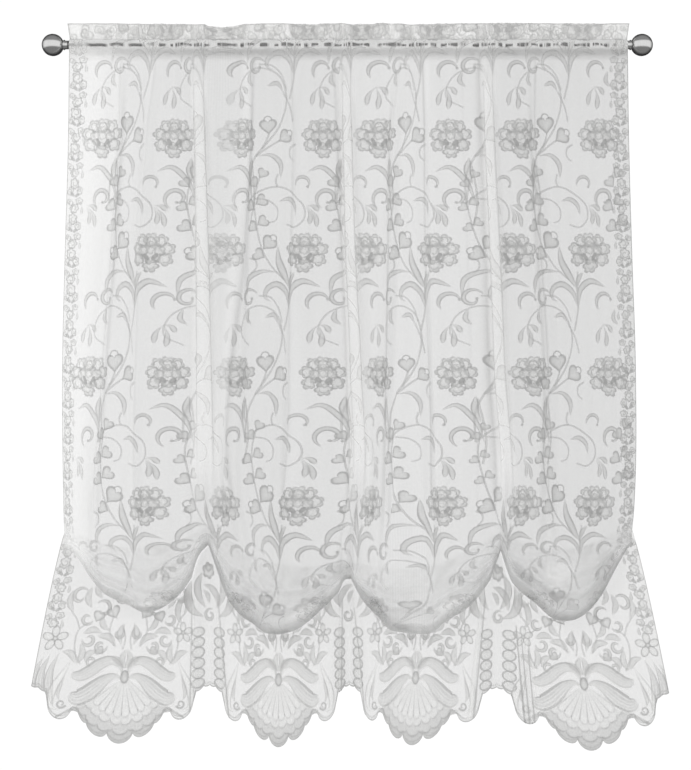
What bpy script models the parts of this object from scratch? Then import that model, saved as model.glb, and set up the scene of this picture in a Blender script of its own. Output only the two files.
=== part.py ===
"""A lace balloon curtain panel on a plain rod with two ball finials.

Metres, +Z up, +X to the right and -Y towards the room. The origin is on the rod's axis at mid length.
The panel is one sheet of lace. From its top hem it runs up behind the rod, over at the ruffled heading and
down in front of the rod, down the body to the four poufs, up again behind them, and down as the skirt.
"across" is a place on the flat sheet, from its left edge to its right edge.
"""

import math
from collections import namedtuple

import bmesh
import bpy
import numpy as np
from mathutils import Euler

# Driving sizes of the cloth
FLAT_WIDTH = 1.60
SHEET = 0.0015
LAYER_GAP = 0.005  # between the middles of layers that lie together at a gather
HEADING_TOP = 0.0465
STITCH_HEIGHT = -0.022  # the seam that closes the pocket under the rod
FRONT_AT_STITCH = -0.0108
FRONT_AT_WAIST = -0.0165
SKIRT_BACK = -0.002

# Driving sizes of the rod and finials
ROD_RADIUS = 0.0096
ROD_HALF_LENGTH = 0.6215
ROD_SIDES = 16
BALL_RADIUS = 0.0253
BALL_CENTRE = 0.6555
COLLAR_RADIUS = 0.0113
COLLAR_START = 0.0243  # from the ball's centre towards the rod
COLLAR_END = 0.0265
FIT_GAP = 0.0003
BALL_RINGS = 10

# The five lines where the cloth is drawn up, the first and last being its side edges
Gather = namedtuple("Gather", "across waist_x waist_z hem_x recess")
GATHERS = (
    Gather(0.00, -0.627, -1.088, -0.727, 0.000),
    Gather(0.39, -0.308, -1.082, -0.308, 0.034),
    Gather(0.80, 0.001, -1.158, 0.006, 0.040),
    Gather(1.22, 0.338, -1.096, 0.334, 0.040),
    Gather(FLAT_WIDTH, 0.630, -1.078, 0.741, 0.000),
)

# The panels between them: how far the pouf stands out, how far it drops at each of DROP_SHARES, and the
# skirt's lowest lobe
DROP_SHARES = (0.0, 0.08, 0.16, 0.28, 0.42, 0.56, 0.70, 0.80, 0.90, 1.0)
Panel = namedtuple("Panel", "belly foot_x foot_z forward drops")
PANELS = (
    Panel(0.052, -0.5065, -1.5525, 0.016, (0.028, 0.038, 0.056, 0.094, 0.133, 0.158, 0.172, 0.136, 0.058, 0.028)),
    Panel(0.060, -0.152, -1.557, 0.032, (0.028, 0.078, 0.124, 0.158, 0.174, 0.180, 0.156, 0.100, 0.042, 0.028)),
    Panel(0.060, 0.142, -1.5525, 0.032, (0.028, 0.060, 0.088, 0.122, 0.162, 0.180, 0.156, 0.130, 0.078, 0.028)),
    Panel(0.052, 0.541, -1.568, 0.018, (0.028, 0.078, 0.112, 0.144, 0.181, 0.189, 0.166, 0.126, 0.074, 0.028)),
)

# Vertical folds of the body, left to right. x is given at each of FOLD_LEVELS, from rod to waist. reach is
# the half width of flat cloth in the fold, hung_* its half width as it hangs, proud how far it stands out,
# tuck how far its sides turn under, lean how far its crest leans sideways. flat_columns counts the mesh
# columns in the flat cloth before the fold, and columns those in the fold.
FOLD_LEVELS = (0.0, -0.207, -0.461, -0.726, -1.018, -1.100)
Fold = namedtuple(
    "Fold",
    "across reach x_rod x_high x_upper x_middle x_low x_waist"
    " hung_top hung_low proud tuck lean flat_columns columns",
)
FOLDS = (
    Fold(0.130, 0.030, -0.500, -0.513, -0.529, -0.546, -0.556, -0.554, 0.022, 0.018, 0.012, 0.0, 0.006, 3, 3),
    Fold(0.235, 0.028, -0.422, -0.439, -0.456, -0.463, -0.466, -0.464, 0.022, 0.022, 0.010, 0.0, -0.005, 1, 3),
    Fold(0.390, 0.060, -0.333, -0.327, -0.321, -0.317, -0.311, -0.308, 0.021, 0.036, 0.020, 0.040, 0.0, 2, 6),
    Fold(0.515, 0.028, -0.219, -0.225, -0.235, -0.241, -0.243, -0.228, 0.020, 0.020, 0.012, 0.0, 0.006, 1, 3),
    Fold(0.625, 0.028, -0.123, -0.127, -0.137, -0.148, -0.156, -0.160, 0.022, 0.022, 0.009, 0.0, 0.004, 1, 3),
    Fold(0.800, 0.060, -0.005, 0.000, 0.007, 0.019, 0.022, 0.008, 0.018, 0.025, 0.022, 0.034, 0.0, 1, 6),
    Fold(0.955, 0.028, 0.119, 0.105, 0.101, 0.096, 0.086, 0.082, 0.018, 0.014, 0.013, 0.0, -0.006, 1, 3),
    Fold(1.050, 0.026, 0.168, 0.166, 0.168, 0.174, 0.184, 0.190, 0.018, 0.018, 0.010, 0.0, 0.005, 1, 3),
    Fold(1.220, 0.048, 0.310, 0.315, 0.327, 0.337, 0.350, 0.340, 0.020, 0.024, 0.020, 0.036, 0.0, 1, 6),
    Fold(1.365, 0.030, 0.416, 0.421, 0.434, 0.449, 0.441, 0.440, 0.022, 0.022, 0.014, 0.0, -0.006, 3, 4),
)
LAST_FLAT_COLUMNS = 5
TUCK_TOP = -0.03  # folds turn under only from here down to where the poufs start
TUCK_FULL = -0.20
TUCK_FADES = -0.80
TUCK_END = -1.05

SideEdge = namedtuple("SideEdge", "x_rod x_high x_upper x_middle x_low x_waist")
LEFT_EDGE = SideEdge(-0.618, -0.620, -0.627, -0.6325, -0.629, -0.627)
RIGHT_EDGE = SideEdge(0.623, 0.6255, 0.632, 0.640, 0.6365, 0.630)

# The heading and rod pocket in section, from the top hem behind the rod to the seam in front of it.
# ruffle is the share of the heading's wave that the line follows, puff the share of the gathers' fullness.
Line = namedtuple("Line", "y z ruffle puff")
POCKET = (
    Line(FRONT_AT_STITCH + 0.0020, STITCH_HEIGHT - 0.002, 0.0, 1.0),
    Line(0.0075, -0.0115, 0.0, 0.5),
    Line(0.0123, 0.0, 0.0, 0.8),
    Line(0.0070, 0.0096, 0.0, 0.4),
    Line(0.0016, 0.0123, 0.3, 0.0),
    Line(0.0016, 0.0290, 0.8, 0.0),
    Line(0.0016, HEADING_TOP, 1.0, 0.0),
    Line(-0.0016, HEADING_TOP, 1.0, 0.0),
    Line(-0.0016, 0.0290, 0.8, 0.0),
    Line(-0.0016, 0.0123, 0.3, 0.0),
    Line(-0.0070, 0.0096, 0.0, 0.4),
    Line(-0.0123, 0.0, 0.0, 0.8),
    Line(FRONT_AT_STITCH, STITCH_HEIGHT, 0.0, 1.0),
)
RUFFLE_DEPTH = 0.0045
PUFF_DEPTH = 0.0035
POCKET_WAVE = 0.046  # from ruffle to ruffle along the rod
HEADING_DIP = 0.007  # the notch in the heading near the first gather line
DIP_ACROSS = 0.467
DIP_REACH = 0.02

# Heights of the mesh lines down the body, shares of the way down a pouf's face at the crests and troughs of
# its rolls, and shares of the way down the skirt
BODY_HEIGHTS = (-0.045, -0.12, -0.27, -0.45, -0.64, -0.82, -0.97)
POUF_SHARES = (0.0, 0.25, 0.43, 0.587, 0.732, 0.869, 1.0)
SKIRT_SHARES = (0.12, 0.36, 0.60, 0.82, 1.0)
ROLLS = 3
ROLL_DEPTH = 0.008
ROLL_SPREAD = 1.3  # rolls crowd towards the pouf's lower edge
ROLLS_FULL = 0.14  # rolls are as deep as that where a pouf's face is this high, and shallower where it is lower
TURN_HEIGHT = 0.020  # the pouf's lower edge is rounded over this height at most
TURN_SHARE = 0.35  # and over this share of its drop
BELLY_TOP = -0.55
BELLY_FULL = -1.20
TIE_RISE = 0.010
TIE_SAG = 0.045
RECESS_REACH = 0.036

# Lobes of the scalloped hem over half a panel, from its lowest point to the gather line. Places are shares
# of the half panel, rises are heights above the lowest point.
Lobe = namedtuple("Lobe", "start end rise_start rise_end sag columns")
LOBES = (
    Lobe(-0.140, 0.140, 0.024, 0.024, 0.024, 6),
    Lobe(0.140, 0.365, 0.024, 0.046, 0.0175, 4),
    Lobe(0.365, 0.460, 0.046, 0.068, 0.006, 1),
    Lobe(0.460, 0.540, 0.068, 0.071, -0.002, 1),
    Lobe(0.540, 0.790, 0.071, 0.082, 0.023, 3),
    Lobe(0.790, 0.835, 0.082, 0.114, 0.000, 1),
    Lobe(0.835, 0.920, 0.114, 0.124, 0.003, 1),
    Lobe(0.920, 1.000, 0.124, 0.126, 0.003, 1),
)
LOBE_ROUNDNESS = 0.65  # 1 is a parabola, and less has steeper sides


def ease(share):
    """A smooth step from 0 to 1."""
    share = np.clip(share, 0.0, 1.0)
    return share * share * (3.0 - 2.0 * share)


def flowing(knots, values, at):
    """A smooth curve through values at rising knots, level past both ends."""
    knots = np.asarray(knots, float)
    values = np.asarray(values, float)
    slopes = np.gradient(values, knots)
    at = np.clip(at, knots[0], knots[-1])
    i = np.clip(np.searchsorted(knots, at) - 1, 0, len(knots) - 2)
    gap = knots[i + 1] - knots[i]
    t = (at - knots[i]) / gap
    start = (1.0 + 2.0 * t) * (1.0 - t) ** 2 * values[i] + t * (1.0 - t) ** 2 * gap * slopes[i]
    end = t * t * (3.0 - 2.0 * t) * values[i + 1] + t * t * (t - 1.0) * gap * slopes[i + 1]
    return start + end


def down_the_fold(row, z):
    """A fold's or edge's x at height z, from the x columns of its table row."""
    places = [row.x_waist, row.x_low, row.x_middle, row.x_upper, row.x_high, row.x_rod]
    return flowing(FOLD_LEVELS[::-1], places, z)


def gather_values(name):
    return [getattr(g, name) for g in GATHERS]


GATHER_ACROSS = gather_values("across")


def panel_share(across):
    """The panel that a place lies in, and its share of the way over that panel."""
    across = np.asarray(across, float)
    k = np.clip(np.searchsorted(GATHER_ACROSS, across, side="right") - 1, 0, len(PANELS) - 1)
    starts = np.array(GATHER_ACROSS)[k]
    widths = np.diff(GATHER_ACROSS)[k]
    return k, (across - starts) / widths


def panel_value(name, k):
    return np.array([getattr(p, name) for p in PANELS])[k]


def arch(share, sharpness):
    """0 at both gathers and 1 between them."""
    return np.sin(math.pi * np.clip(share, 0.0, 1.0)) ** sharpness


def body_x(across, z):
    """x of the hanging body: through the folds' sides, with each fold's own curve between them."""
    across = np.asarray(across, float)
    z = np.broadcast_to(np.asarray(z, float), across.shape)
    drop = ease((TUCK_TOP - z) / (TUCK_TOP - FOLD_LEVELS[-2]))
    edge_across = [np.zeros_like(across)]
    edge_x = [down_the_fold(LEFT_EDGE, z)]
    for fold in FOLDS:
        hung = fold.hung_top + (fold.hung_low - fold.hung_top) * drop
        middle = down_the_fold(fold, z)
        edge_across += [fold.across - fold.reach, fold.across + fold.reach]
        edge_x += [middle - hung, middle + hung]
    edge_across.append(FLAT_WIDTH)
    edge_x.append(down_the_fold(RIGHT_EDGE, z))
    x = np.zeros_like(across)
    for i in range(len(edge_x) - 1):
        share = (across - edge_across[i]) / (edge_across[i + 1] - edge_across[i])
        here = (share >= 0.0) & (share <= 1.0)
        x = np.where(here, edge_x[i] + (edge_x[i + 1] - edge_x[i]) * share, x)
    full = ease((TUCK_TOP - z) / (TUCK_TOP - TUCK_FULL))
    full = full * (1.0 - ease((TUCK_FADES - z) / (TUCK_FADES - TUCK_END)))
    for fold in FOLDS:
        q = np.clip((across - fold.across) / fold.reach, -1.0, 1.0)
        crest = 0.5 + 0.5 * np.cos(math.pi * q)
        x = x + full * (fold.tuck * np.sin(2.0 * math.pi * q) / (2.0 * math.pi) + fold.lean * crest)
    return x


def body_y(across, z):
    """y of the hanging body: straight down from the rod, with its folds and the poufs' bellies."""
    across = np.asarray(across, float)
    down = ease((STITCH_HEIGHT - z) / (STITCH_HEIGHT - FOLD_LEVELS[-2]))
    y = FRONT_AT_STITCH + (FRONT_AT_WAIST - FRONT_AT_STITCH) * down
    grown = 0.2 + 0.8 * ease((STITCH_HEIGHT - z) / (STITCH_HEIGHT - FOLD_LEVELS[1]))
    drawn_in = 1.0 - 0.6 * ease((FOLD_LEVELS[-2] - z) / 0.12)
    for fold in FOLDS:
        q = np.clip((across - fold.across) / fold.reach, -1.0, 1.0)
        y = y - fold.proud * grown * drawn_in * (0.5 + 0.5 * np.cos(math.pi * q))
    k, share = panel_share(across)
    swell = ease((BELLY_TOP - z) / (BELLY_TOP - BELLY_FULL))
    return y - panel_value("belly", k) * arch(share, 0.75) * swell


def pocket_row(line, across):
    """A line of the heading or rod pocket."""
    x = body_x(across, 0.0)
    wave = np.sin(2.0 * math.pi * x / POCKET_WAVE + 1.7 * np.sin(6.0 * x))
    wave = wave * (0.6 + 0.4 * np.sin(11.0 * x + 1.0)) * arch(across / FLAT_WIDTH, 0.5)
    fullness = 0.5 + 0.5 * np.cos(2.0 * math.pi * x / POCKET_WAVE + 0.8 * np.sin(9.0 * x))
    radius = math.hypot(line.y, line.z)
    outward = 1.0 + line.puff * PUFF_DEPTH * fullness / radius
    dip = HEADING_DIP * np.exp(-(((across - DIP_ACROSS) / DIP_REACH) ** 2))
    top_share = max(0.0, (line.z - POCKET[4].z) / (HEADING_TOP - POCKET[4].z))
    y = line.y * outward + line.ruffle * RUFFLE_DEPTH * wave
    z = line.z * np.where(line.puff > 0.9, 1.0, outward) - dip * top_share ** 2
    return x, y, z + np.zeros_like(across)


def waist_chord(across):
    """Height of the straight lines from gather to gather."""
    return np.interp(across, GATHER_ACROSS, gather_values("waist_z"))


def pouf_bottom(across):
    """Height of the poufs' lower edge."""
    k, share = panel_share(across)
    drop = np.zeros_like(share)
    for i, panel in enumerate(PANELS):
        drop = np.where(k == i, flowing(DROP_SHARES, panel.drops, share), drop)
    return waist_chord(across) - drop


def tie_height(across):
    """Height of the turn behind the poufs, where the skirt starts."""
    _, share = panel_share(across)
    return waist_chord(across) + TIE_RISE - TIE_SAG * arch(share, 1.0)


def foot_across():
    return [0.5 * (a + b) for a, b in zip(GATHER_ACROSS, GATHER_ACROSS[1:])]


def hem_base(across):
    """Height of the line along the lowest lobes."""
    return np.interp(across, foot_across(), [p.foot_z for p in PANELS])


def hem_rise(across):
    """Height of the scalloped hem above that line."""
    _, share = panel_share(across)
    place = np.abs(2.0 * share - 1.0)
    rise = np.zeros_like(place)
    for lobe in LOBES:
        t = (place - lobe.start) / (lobe.end - lobe.start)
        here = (t >= 0.0) & (t <= 1.0)
        bow = np.clip(4.0 * t * (1.0 - t), 0.0, 1.0) ** LOBE_ROUNDNESS
        arc = lobe.rise_start + (lobe.rise_end - lobe.rise_start) * t - lobe.sag * bow
        rise = np.where(here, arc, rise)
    return rise


def skirt_fall(across, z):
    """How far down the skirt a height is, from 0 at the tie to 1 at the lowest lobes."""
    tie = tie_height(across)
    return np.clip((tie - z) / (tie - hem_base(across)), 0.0, 1.0)


def skirt_x(across, z):
    fall = skirt_fall(across, z) ** 0.85
    waist = flowing(GATHER_ACROSS, gather_values("waist_x"), across)
    knots = sorted([*GATHER_ACROSS, *foot_across()])
    places = [None] * len(knots)
    places[0::2] = gather_values("hem_x")
    places[1::2] = [p.foot_x for p in PANELS]
    return waist + (flowing(knots, places, across) - waist) * fall


def skirt_y(across, z):
    """y of the skirt: forward between gathers, drawn back below them."""
    across = np.asarray(across, float)
    opened = skirt_fall(across, z) ** 0.7
    k, share = panel_share(across)
    wave = -panel_value("forward", k) * arch(share, 0.8)
    for gather in GATHERS:
        wave = wave + gather.recess * np.exp(-(((across - gather.across) / RECESS_REACH) ** 2))
    return SKIRT_BACK + wave * opened


def return_y(across, z):
    """y of the layer that runs up behind a pouf, just in front of the skirt."""
    _, share = panel_share(across)
    tie = tie_height(across)
    low = np.clip((tie - z) / 0.15, 0.0, 1.0)
    return skirt_y(across, z) - LAYER_GAP * (1.0 + low * arch(share, 0.6))


def face_y(across, share):
    """y of a pouf's face, with its rolls."""
    _, over = panel_share(across)
    z = face_height(across, share)
    rolls = np.cos(2.0 * math.pi * ROLLS * share**ROLL_SPREAD)
    height = waist_chord(across) - face_height(across, 1.0)
    held = arch(over, 0.5) * ease(share / 0.3) * ease(height / ROLLS_FULL)
    return body_y(across, z) - ROLL_DEPTH * rolls * held


def turn_height(across):
    """Height of the rounding at a pouf's lower edge."""
    bottom = pouf_bottom(across)
    apart = return_y(across, bottom) - body_y(across, bottom)
    drop = waist_chord(across) - bottom
    return np.minimum(np.minimum(0.6 * apart, TURN_SHARE * drop), TURN_HEIGHT)


def face_height(across, share):
    chord = waist_chord(across)
    return chord + (pouf_bottom(across) + turn_height(across) - chord) * share


def face_row(across, share):
    z = face_height(across, share)
    return body_x(across, z), face_y(across, share), z


def turn_row(across, angle):
    """A line of the rounding under a pouf, from 0 at its face to pi at the layer behind."""
    bottom = pouf_bottom(across)
    height = turn_height(across)
    front = face_y(across, 1.0)
    back = return_y(across, bottom + height)
    y = front + (back - front) * 0.5 * (1.0 - math.cos(angle))
    return body_x(across, bottom), y, bottom + height * (1.0 - math.sin(angle))


def return_row(across, share):
    start = pouf_bottom(across) + turn_height(across)
    z = start + (tie_height(across) - start) * share
    under = body_x(across, start)
    return under + (skirt_x(across, z) - under) * ease(share), return_y(across, z), z


def skirt_row(across, share):
    tie = tie_height(across)
    z = tie + (hem_base(across) + hem_rise(across) - tie) * share
    return skirt_x(across, z), skirt_y(across, z), z


def body_row(across, z):
    return body_x(across, z), body_y(across, z), z + np.zeros_like(across)


def body_columns():
    """Places across of the mesh columns from the heading to the tie."""
    stops = [0.0]
    for fold in FOLDS:
        start, end = fold.across - fold.reach, fold.across + fold.reach
        stops += list(np.linspace(stops[-1], start, fold.flat_columns + 1)[1:])
        shares = np.linspace(-1.0, 1.0, fold.columns + 1)[1:]
        stops += [0.5 * (start + end) + 0.5 * (end - start) * s for s in shares]
    stops += list(np.linspace(stops[-1], FLAT_WIDTH, LAST_FLAT_COLUMNS + 1)[1:])
    return np.array(stops)


def hem_columns():
    """Places across of the mesh columns at the hem, with one at each cusp of the lobes."""
    half = []
    for lobe in LOBES:
        places = np.linspace(lobe.start, lobe.end, lobe.columns + 1)
        half += [p for p in places if p > 1e-6 and p not in half]
    stops = [0.0]
    for start, end in zip(GATHER_ACROSS, GATHER_ACROSS[1:]):
        middle, reach = 0.5 * (start + end), 0.5 * (end - start)
        stops += [middle - reach * p for p in half[-2::-1]]
        stops.append(middle)
        stops += [middle + reach * p for p in half]
    return np.array(stops)


def sheet_rows():
    """The lines of the sheet along its length: those above the skirt, then the skirt's finer ones."""
    across = body_columns()
    upper = [pocket_row(line, across) for line in POCKET]
    upper += [body_row(across, z) for z in BODY_HEIGHTS]
    upper += [face_row(across, share) for share in POUF_SHARES]
    upper += [turn_row(across, angle) for angle in (0.5 * math.pi, math.pi)]
    upper += [return_row(across, share) for share in (0.5, 1.0)]
    tie_x, tie_y, tie_z = skirt_row(across, 0.0)
    upper.append((tie_x, tie_y, tie_z))
    fine = np.interp(np.arange(2 * len(across) - 1) / 2.0, np.arange(len(across)), across)
    at_hem = hem_columns()
    lower = []
    for share in SKIRT_SHARES:
        lower.append(skirt_row(fine + (at_hem - fine) * ease(share), share))
    return upper, lower


def strip_faces(first, second, count):
    """Quads between two lines of count points that start at first and second."""
    return [(first + i, first + i + 1, second + i + 1, second + i) for i in range(count - 1)]


def widening_faces(first, second, count):
    """Triangles from a line of count points to one with a point between each two of them."""
    faces = []
    for i in range(count - 1):
        a, b, low = first + i, first + i + 1, second + 2 * i
        faces += [(a, low + 1, low), (a, b, low + 1), (b, low + 2, low + 1)]
    return faces


def make_curtain(collection, material):
    upper, lower = sheet_rows()
    coarse, fine = len(upper[0][0]), len(lower[0][0])
    points, faces = [], []
    for row in upper + lower:
        points += [tuple(map(float, point)) for point in zip(*row)]
    for i in range(len(upper) - 1):
        faces += strip_faces(i * coarse, (i + 1) * coarse, coarse)
    skirt = len(upper) * coarse
    faces += widening_faces(skirt - coarse, skirt, coarse)
    for i in range(len(lower) - 1):
        faces += strip_faces(skirt + i * fine, skirt + (i + 1) * fine, fine)
    mesh = bpy.data.meshes.new("curtain")
    mesh.from_pydata(points, [], faces)
    mesh.materials.append(material)
    curtain = bpy.data.objects.new("curtain", mesh)
    collection.objects.link(curtain)
    solidify = curtain.modifiers.new("sheet", "SOLIDIFY")
    solidify.thickness = SHEET
    solidify.offset = 0.0
    return curtain


def make_rod(collection, material):
    """A plain rod, turned so that one of its flats faces straight down."""
    bm = bmesh.new()
    bmesh.ops.create_cone(
        bm,
        cap_ends=True,
        segments=ROD_SIDES,
        radius1=ROD_RADIUS,
        radius2=ROD_RADIUS,
        depth=2.0 * ROD_HALF_LENGTH,
    )
    mesh = bpy.data.meshes.new("rod")
    bm.to_mesh(mesh)
    bm.free()
    mesh.materials.append(material)
    rod = bpy.data.objects.new("rod", mesh)
    rod.rotation_euler = Euler((0.0, 0.5 * math.pi, 0.0))
    rod.rotation_euler.rotate_axis("Z", math.pi / ROD_SIDES)
    collection.objects.link(rod)
    return rod


def finial_profile():
    """Radius and distance from the ball's centre, from the tip to the neck's end."""
    meets_neck = math.asin(ROD_RADIUS / BALL_RADIUS)
    neck_end = BALL_CENTRE - ROD_HALF_LENGTH - FIT_GAP
    profile = [(0.0, BALL_RADIUS)]
    for i in range(1, BALL_RINGS + 1):
        angle = (math.pi - meets_neck) * i / BALL_RINGS
        profile.append((BALL_RADIUS * math.sin(angle), BALL_RADIUS * math.cos(angle)))
    profile += [
        (COLLAR_RADIUS, -COLLAR_START),
        (COLLAR_RADIUS, -COLLAR_END),
        (ROD_RADIUS, -COLLAR_END),
        (ROD_RADIUS, -neck_end),
        (0.0, -neck_end),
    ]
    return profile


def make_finial(name, side, collection, material):
    """A turned ball on a short neck that carries on the rod's line."""
    profile = finial_profile()
    points = [(radius, 0.0, along) for radius, along in profile]
    edges = [(i, i + 1) for i in range(len(points) - 1)]
    mesh = bpy.data.meshes.new(name)
    mesh.from_pydata(points, edges, [])
    mesh.materials.append(material)
    finial = bpy.data.objects.new(name, mesh)
    finial.location = (side * BALL_CENTRE, 0.0, 0.0)
    finial.rotation_euler = Euler((0.0, side * 0.5 * math.pi, 0.0))
    finial.rotation_euler.rotate_axis("Z", math.pi / ROD_SIDES)
    collection.objects.link(finial)
    screw = finial.modifiers.new("turned", "SCREW")
    screw.steps = ROD_SIDES
    screw.render_steps = ROD_SIDES
    screw.use_merge_vertices = True
    screw.merge_threshold = 0.00001
    return finial


def make_material(name, colour, roughness, metallic):
    material = bpy.data.materials.new(name)
    material.use_nodes = True
    shader = material.node_tree.nodes["Principled BSDF"]
    shader.inputs["Base Color"].default_value = (*colour, 1.0)
    shader.inputs["Roughness"].default_value = roughness
    shader.inputs["Metallic"].default_value = metallic
    return material


def main():
    for item in list(bpy.data.objects):
        bpy.data.objects.remove(item)
    collection = bpy.data.collections.new("lace_balloon_curtain")
    bpy.context.scene.collection.children.link(collection)
    lace = make_material("lace", (0.82, 0.82, 0.81), 0.85, 0.0)
    nickel = make_material("brushed_nickel", (0.55, 0.55, 0.55), 0.35, 1.0)
    make_curtain(collection, lace)
    make_rod(collection, nickel)
    make_finial("finial_left", -1.0, collection, nickel)
    make_finial("finial_right", 1.0, collection, nickel)


main()
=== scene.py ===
"""Looks of the lace balloon curtain panel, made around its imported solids.

Metres, +Z up, +X to the right and -Y towards the room. The lace is one thin sheet of net on the folds of
the curtain's solid, and its woven flowers, leaves, scrolls, borders and fans are thin figures on the net.
A figure is drawn on the flat cloth by formulas and then carried onto the hanging one.
"""

import math
from collections import namedtuple

import bpy
import numpy as np
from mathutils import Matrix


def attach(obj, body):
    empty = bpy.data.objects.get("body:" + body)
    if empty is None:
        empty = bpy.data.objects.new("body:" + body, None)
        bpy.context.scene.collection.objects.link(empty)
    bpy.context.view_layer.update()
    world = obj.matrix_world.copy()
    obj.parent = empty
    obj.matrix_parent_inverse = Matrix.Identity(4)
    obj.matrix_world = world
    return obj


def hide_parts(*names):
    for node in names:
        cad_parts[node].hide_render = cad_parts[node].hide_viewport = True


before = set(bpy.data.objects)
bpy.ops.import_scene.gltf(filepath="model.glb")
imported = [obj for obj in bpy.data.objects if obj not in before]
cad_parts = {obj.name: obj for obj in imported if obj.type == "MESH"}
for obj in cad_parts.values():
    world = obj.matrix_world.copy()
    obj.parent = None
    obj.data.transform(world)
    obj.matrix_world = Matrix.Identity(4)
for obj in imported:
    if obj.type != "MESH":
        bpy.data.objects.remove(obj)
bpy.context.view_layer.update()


def table(kind, *rows):
    """A table's rows as named tuples."""
    return [kind(*row) for row in rows]


# Driving sizes of the cloth, as in the solids
FLAT_WIDTH = 1.60
LAYER_GAP = 0.005
HEADING_TOP = 0.0465
STITCH_HEIGHT = -0.022
FRONT_AT_STITCH = -0.0108
FRONT_AT_WAIST = -0.0165
SKIRT_BACK = -0.002

# Driving sizes of the rod and finials, as in the solids
ROD_RADIUS = 0.0096
ROD_HALF_LENGTH = 0.6215
BALL_RADIUS = 0.0246
BALL_CENTRE = 0.6555
COLLAR_RADIUS = 0.0113
COLLAR_START = 0.0243
COLLAR_END = 0.0265
FIT_GAP = 0.0003

# The lines where the cloth is drawn up
Gather = namedtuple("Gather", "across waist_x waist_z hem_x recess")
GATHERS = table(
    Gather,
    (0.00, -0.627, -1.088, -0.727, 0.000),
    (0.39, -0.308, -1.082, -0.308, 0.034),
    (0.80, 0.001, -1.158, 0.006, 0.040),
    (1.22, 0.338, -1.096, 0.334, 0.040),
    (FLAT_WIDTH, 0.630, -1.078, 0.741, 0.000),
)

# The panels between them, with how far each pouf drops at each of DROP_SHARES
DROP_SHARES = (0.0, 0.08, 0.16, 0.28, 0.42, 0.56, 0.70, 0.80, 0.90, 1.0)
DROPS = (
    (0.028, 0.038, 0.056, 0.094, 0.133, 0.158, 0.172, 0.136, 0.058, 0.028),
    (0.028, 0.078, 0.124, 0.158, 0.174, 0.180, 0.156, 0.100, 0.042, 0.028),
    (0.028, 0.060, 0.088, 0.122, 0.162, 0.180, 0.156, 0.130, 0.078, 0.028),
    (0.028, 0.078, 0.112, 0.144, 0.181, 0.189, 0.166, 0.126, 0.074, 0.028),
)
Panel = namedtuple("Panel", "belly foot_x foot_z forward drops")
PANELS = table(
    Panel,
    (0.052, -0.5065, -1.5525, 0.016, DROPS[0]),
    (0.060, -0.152, -1.557, 0.032, DROPS[1]),
    (0.060, 0.142, -1.5525, 0.032, DROPS[2]),
    (0.052, 0.541, -1.568, 0.018, DROPS[3]),
)

# Vertical folds of the body, with x at each of FOLD_LEVELS
FOLD_LEVELS = (0.0, -0.207, -0.461, -0.726, -1.018, -1.100)
Fold = namedtuple(
    "Fold",
    "across reach x_rod x_high x_upper x_middle x_low x_waist hung_top hung_low proud tuck lean",
)
FOLDS = table(
    Fold,
    (0.130, 0.030, -0.500, -0.513, -0.529, -0.546, -0.556, -0.554, 0.022, 0.018, 0.012, 0.0, 0.006),
    (0.235, 0.028, -0.422, -0.439, -0.456, -0.463, -0.466, -0.464, 0.022, 0.022, 0.010, 0.0, -0.005),
    (0.390, 0.060, -0.333, -0.327, -0.321, -0.317, -0.311, -0.308, 0.021, 0.036, 0.020, 0.040, 0.0),
    (0.515, 0.028, -0.219, -0.225, -0.235, -0.241, -0.243, -0.228, 0.020, 0.020, 0.012, 0.0, 0.006),
    (0.625, 0.028, -0.123, -0.127, -0.137, -0.148, -0.156, -0.160, 0.022, 0.022, 0.009, 0.0, 0.004),
    (0.800, 0.060, -0.005, 0.000, 0.007, 0.019, 0.022, 0.008, 0.018, 0.025, 0.022, 0.034, 0.0),
    (0.955, 0.028, 0.119, 0.105, 0.101, 0.096, 0.086, 0.082, 0.018, 0.014, 0.013, 0.0, -0.006),
    (1.050, 0.026, 0.168, 0.166, 0.168, 0.174, 0.184, 0.190, 0.018, 0.018, 0.010, 0.0, 0.005),
    (1.220, 0.048, 0.310, 0.315, 0.327, 0.337, 0.350, 0.340, 0.020, 0.024, 0.020, 0.036, 0.0),
    (1.365, 0.030, 0.416, 0.421, 0.434, 0.449, 0.441, 0.440, 0.022, 0.022, 0.014, 0.0, -0.006),
)
TUCK_TOP = -0.03
TUCK_FULL = -0.20
TUCK_FADES = -0.80
TUCK_END = -1.05

SideEdge = namedtuple("SideEdge", "x_rod x_high x_upper x_middle x_low x_waist")
LEFT_EDGE = SideEdge(-0.618, -0.620, -0.627, -0.6325, -0.629, -0.627)
RIGHT_EDGE = SideEdge(0.623, 0.6255, 0.632, 0.640, 0.6365, 0.630)

# The heading and rod pocket in section, from the top hem behind the rod to the seam in front of it
Line = namedtuple("Line", "y z ruffle puff")
POCKET = table(
    Line,
    (FRONT_AT_STITCH + 0.0020, STITCH_HEIGHT - 0.002, 0.0, 1.0),
    (0.0075, -0.0115, 0.0, 0.5),
    (0.0123, 0.0, 0.0, 0.8),
    (0.0070, 0.0096, 0.0, 0.4),
    (0.0016, 0.0123, 0.3, 0.0),
    (0.0016, 0.0290, 0.8, 0.0),
    (0.0016, HEADING_TOP, 1.0, 0.0),
    (-0.0016, HEADING_TOP, 1.0, 0.0),
    (-0.0016, 0.0290, 0.8, 0.0),
    (-0.0016, 0.0123, 0.3, 0.0),
    (-0.0070, 0.0096, 0.0, 0.4),
    (-0.0123, 0.0, 0.0, 0.8),
    (FRONT_AT_STITCH, STITCH_HEIGHT, 0.0, 1.0),
)
RUFFLE_DEPTH = 0.0045
PUFF_DEPTH = 0.0035
POCKET_WAVE = 0.046
HEADING_DIP = 0.007
DIP_ACROSS = 0.467
DIP_REACH = 0.02

MM = 0.001

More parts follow.
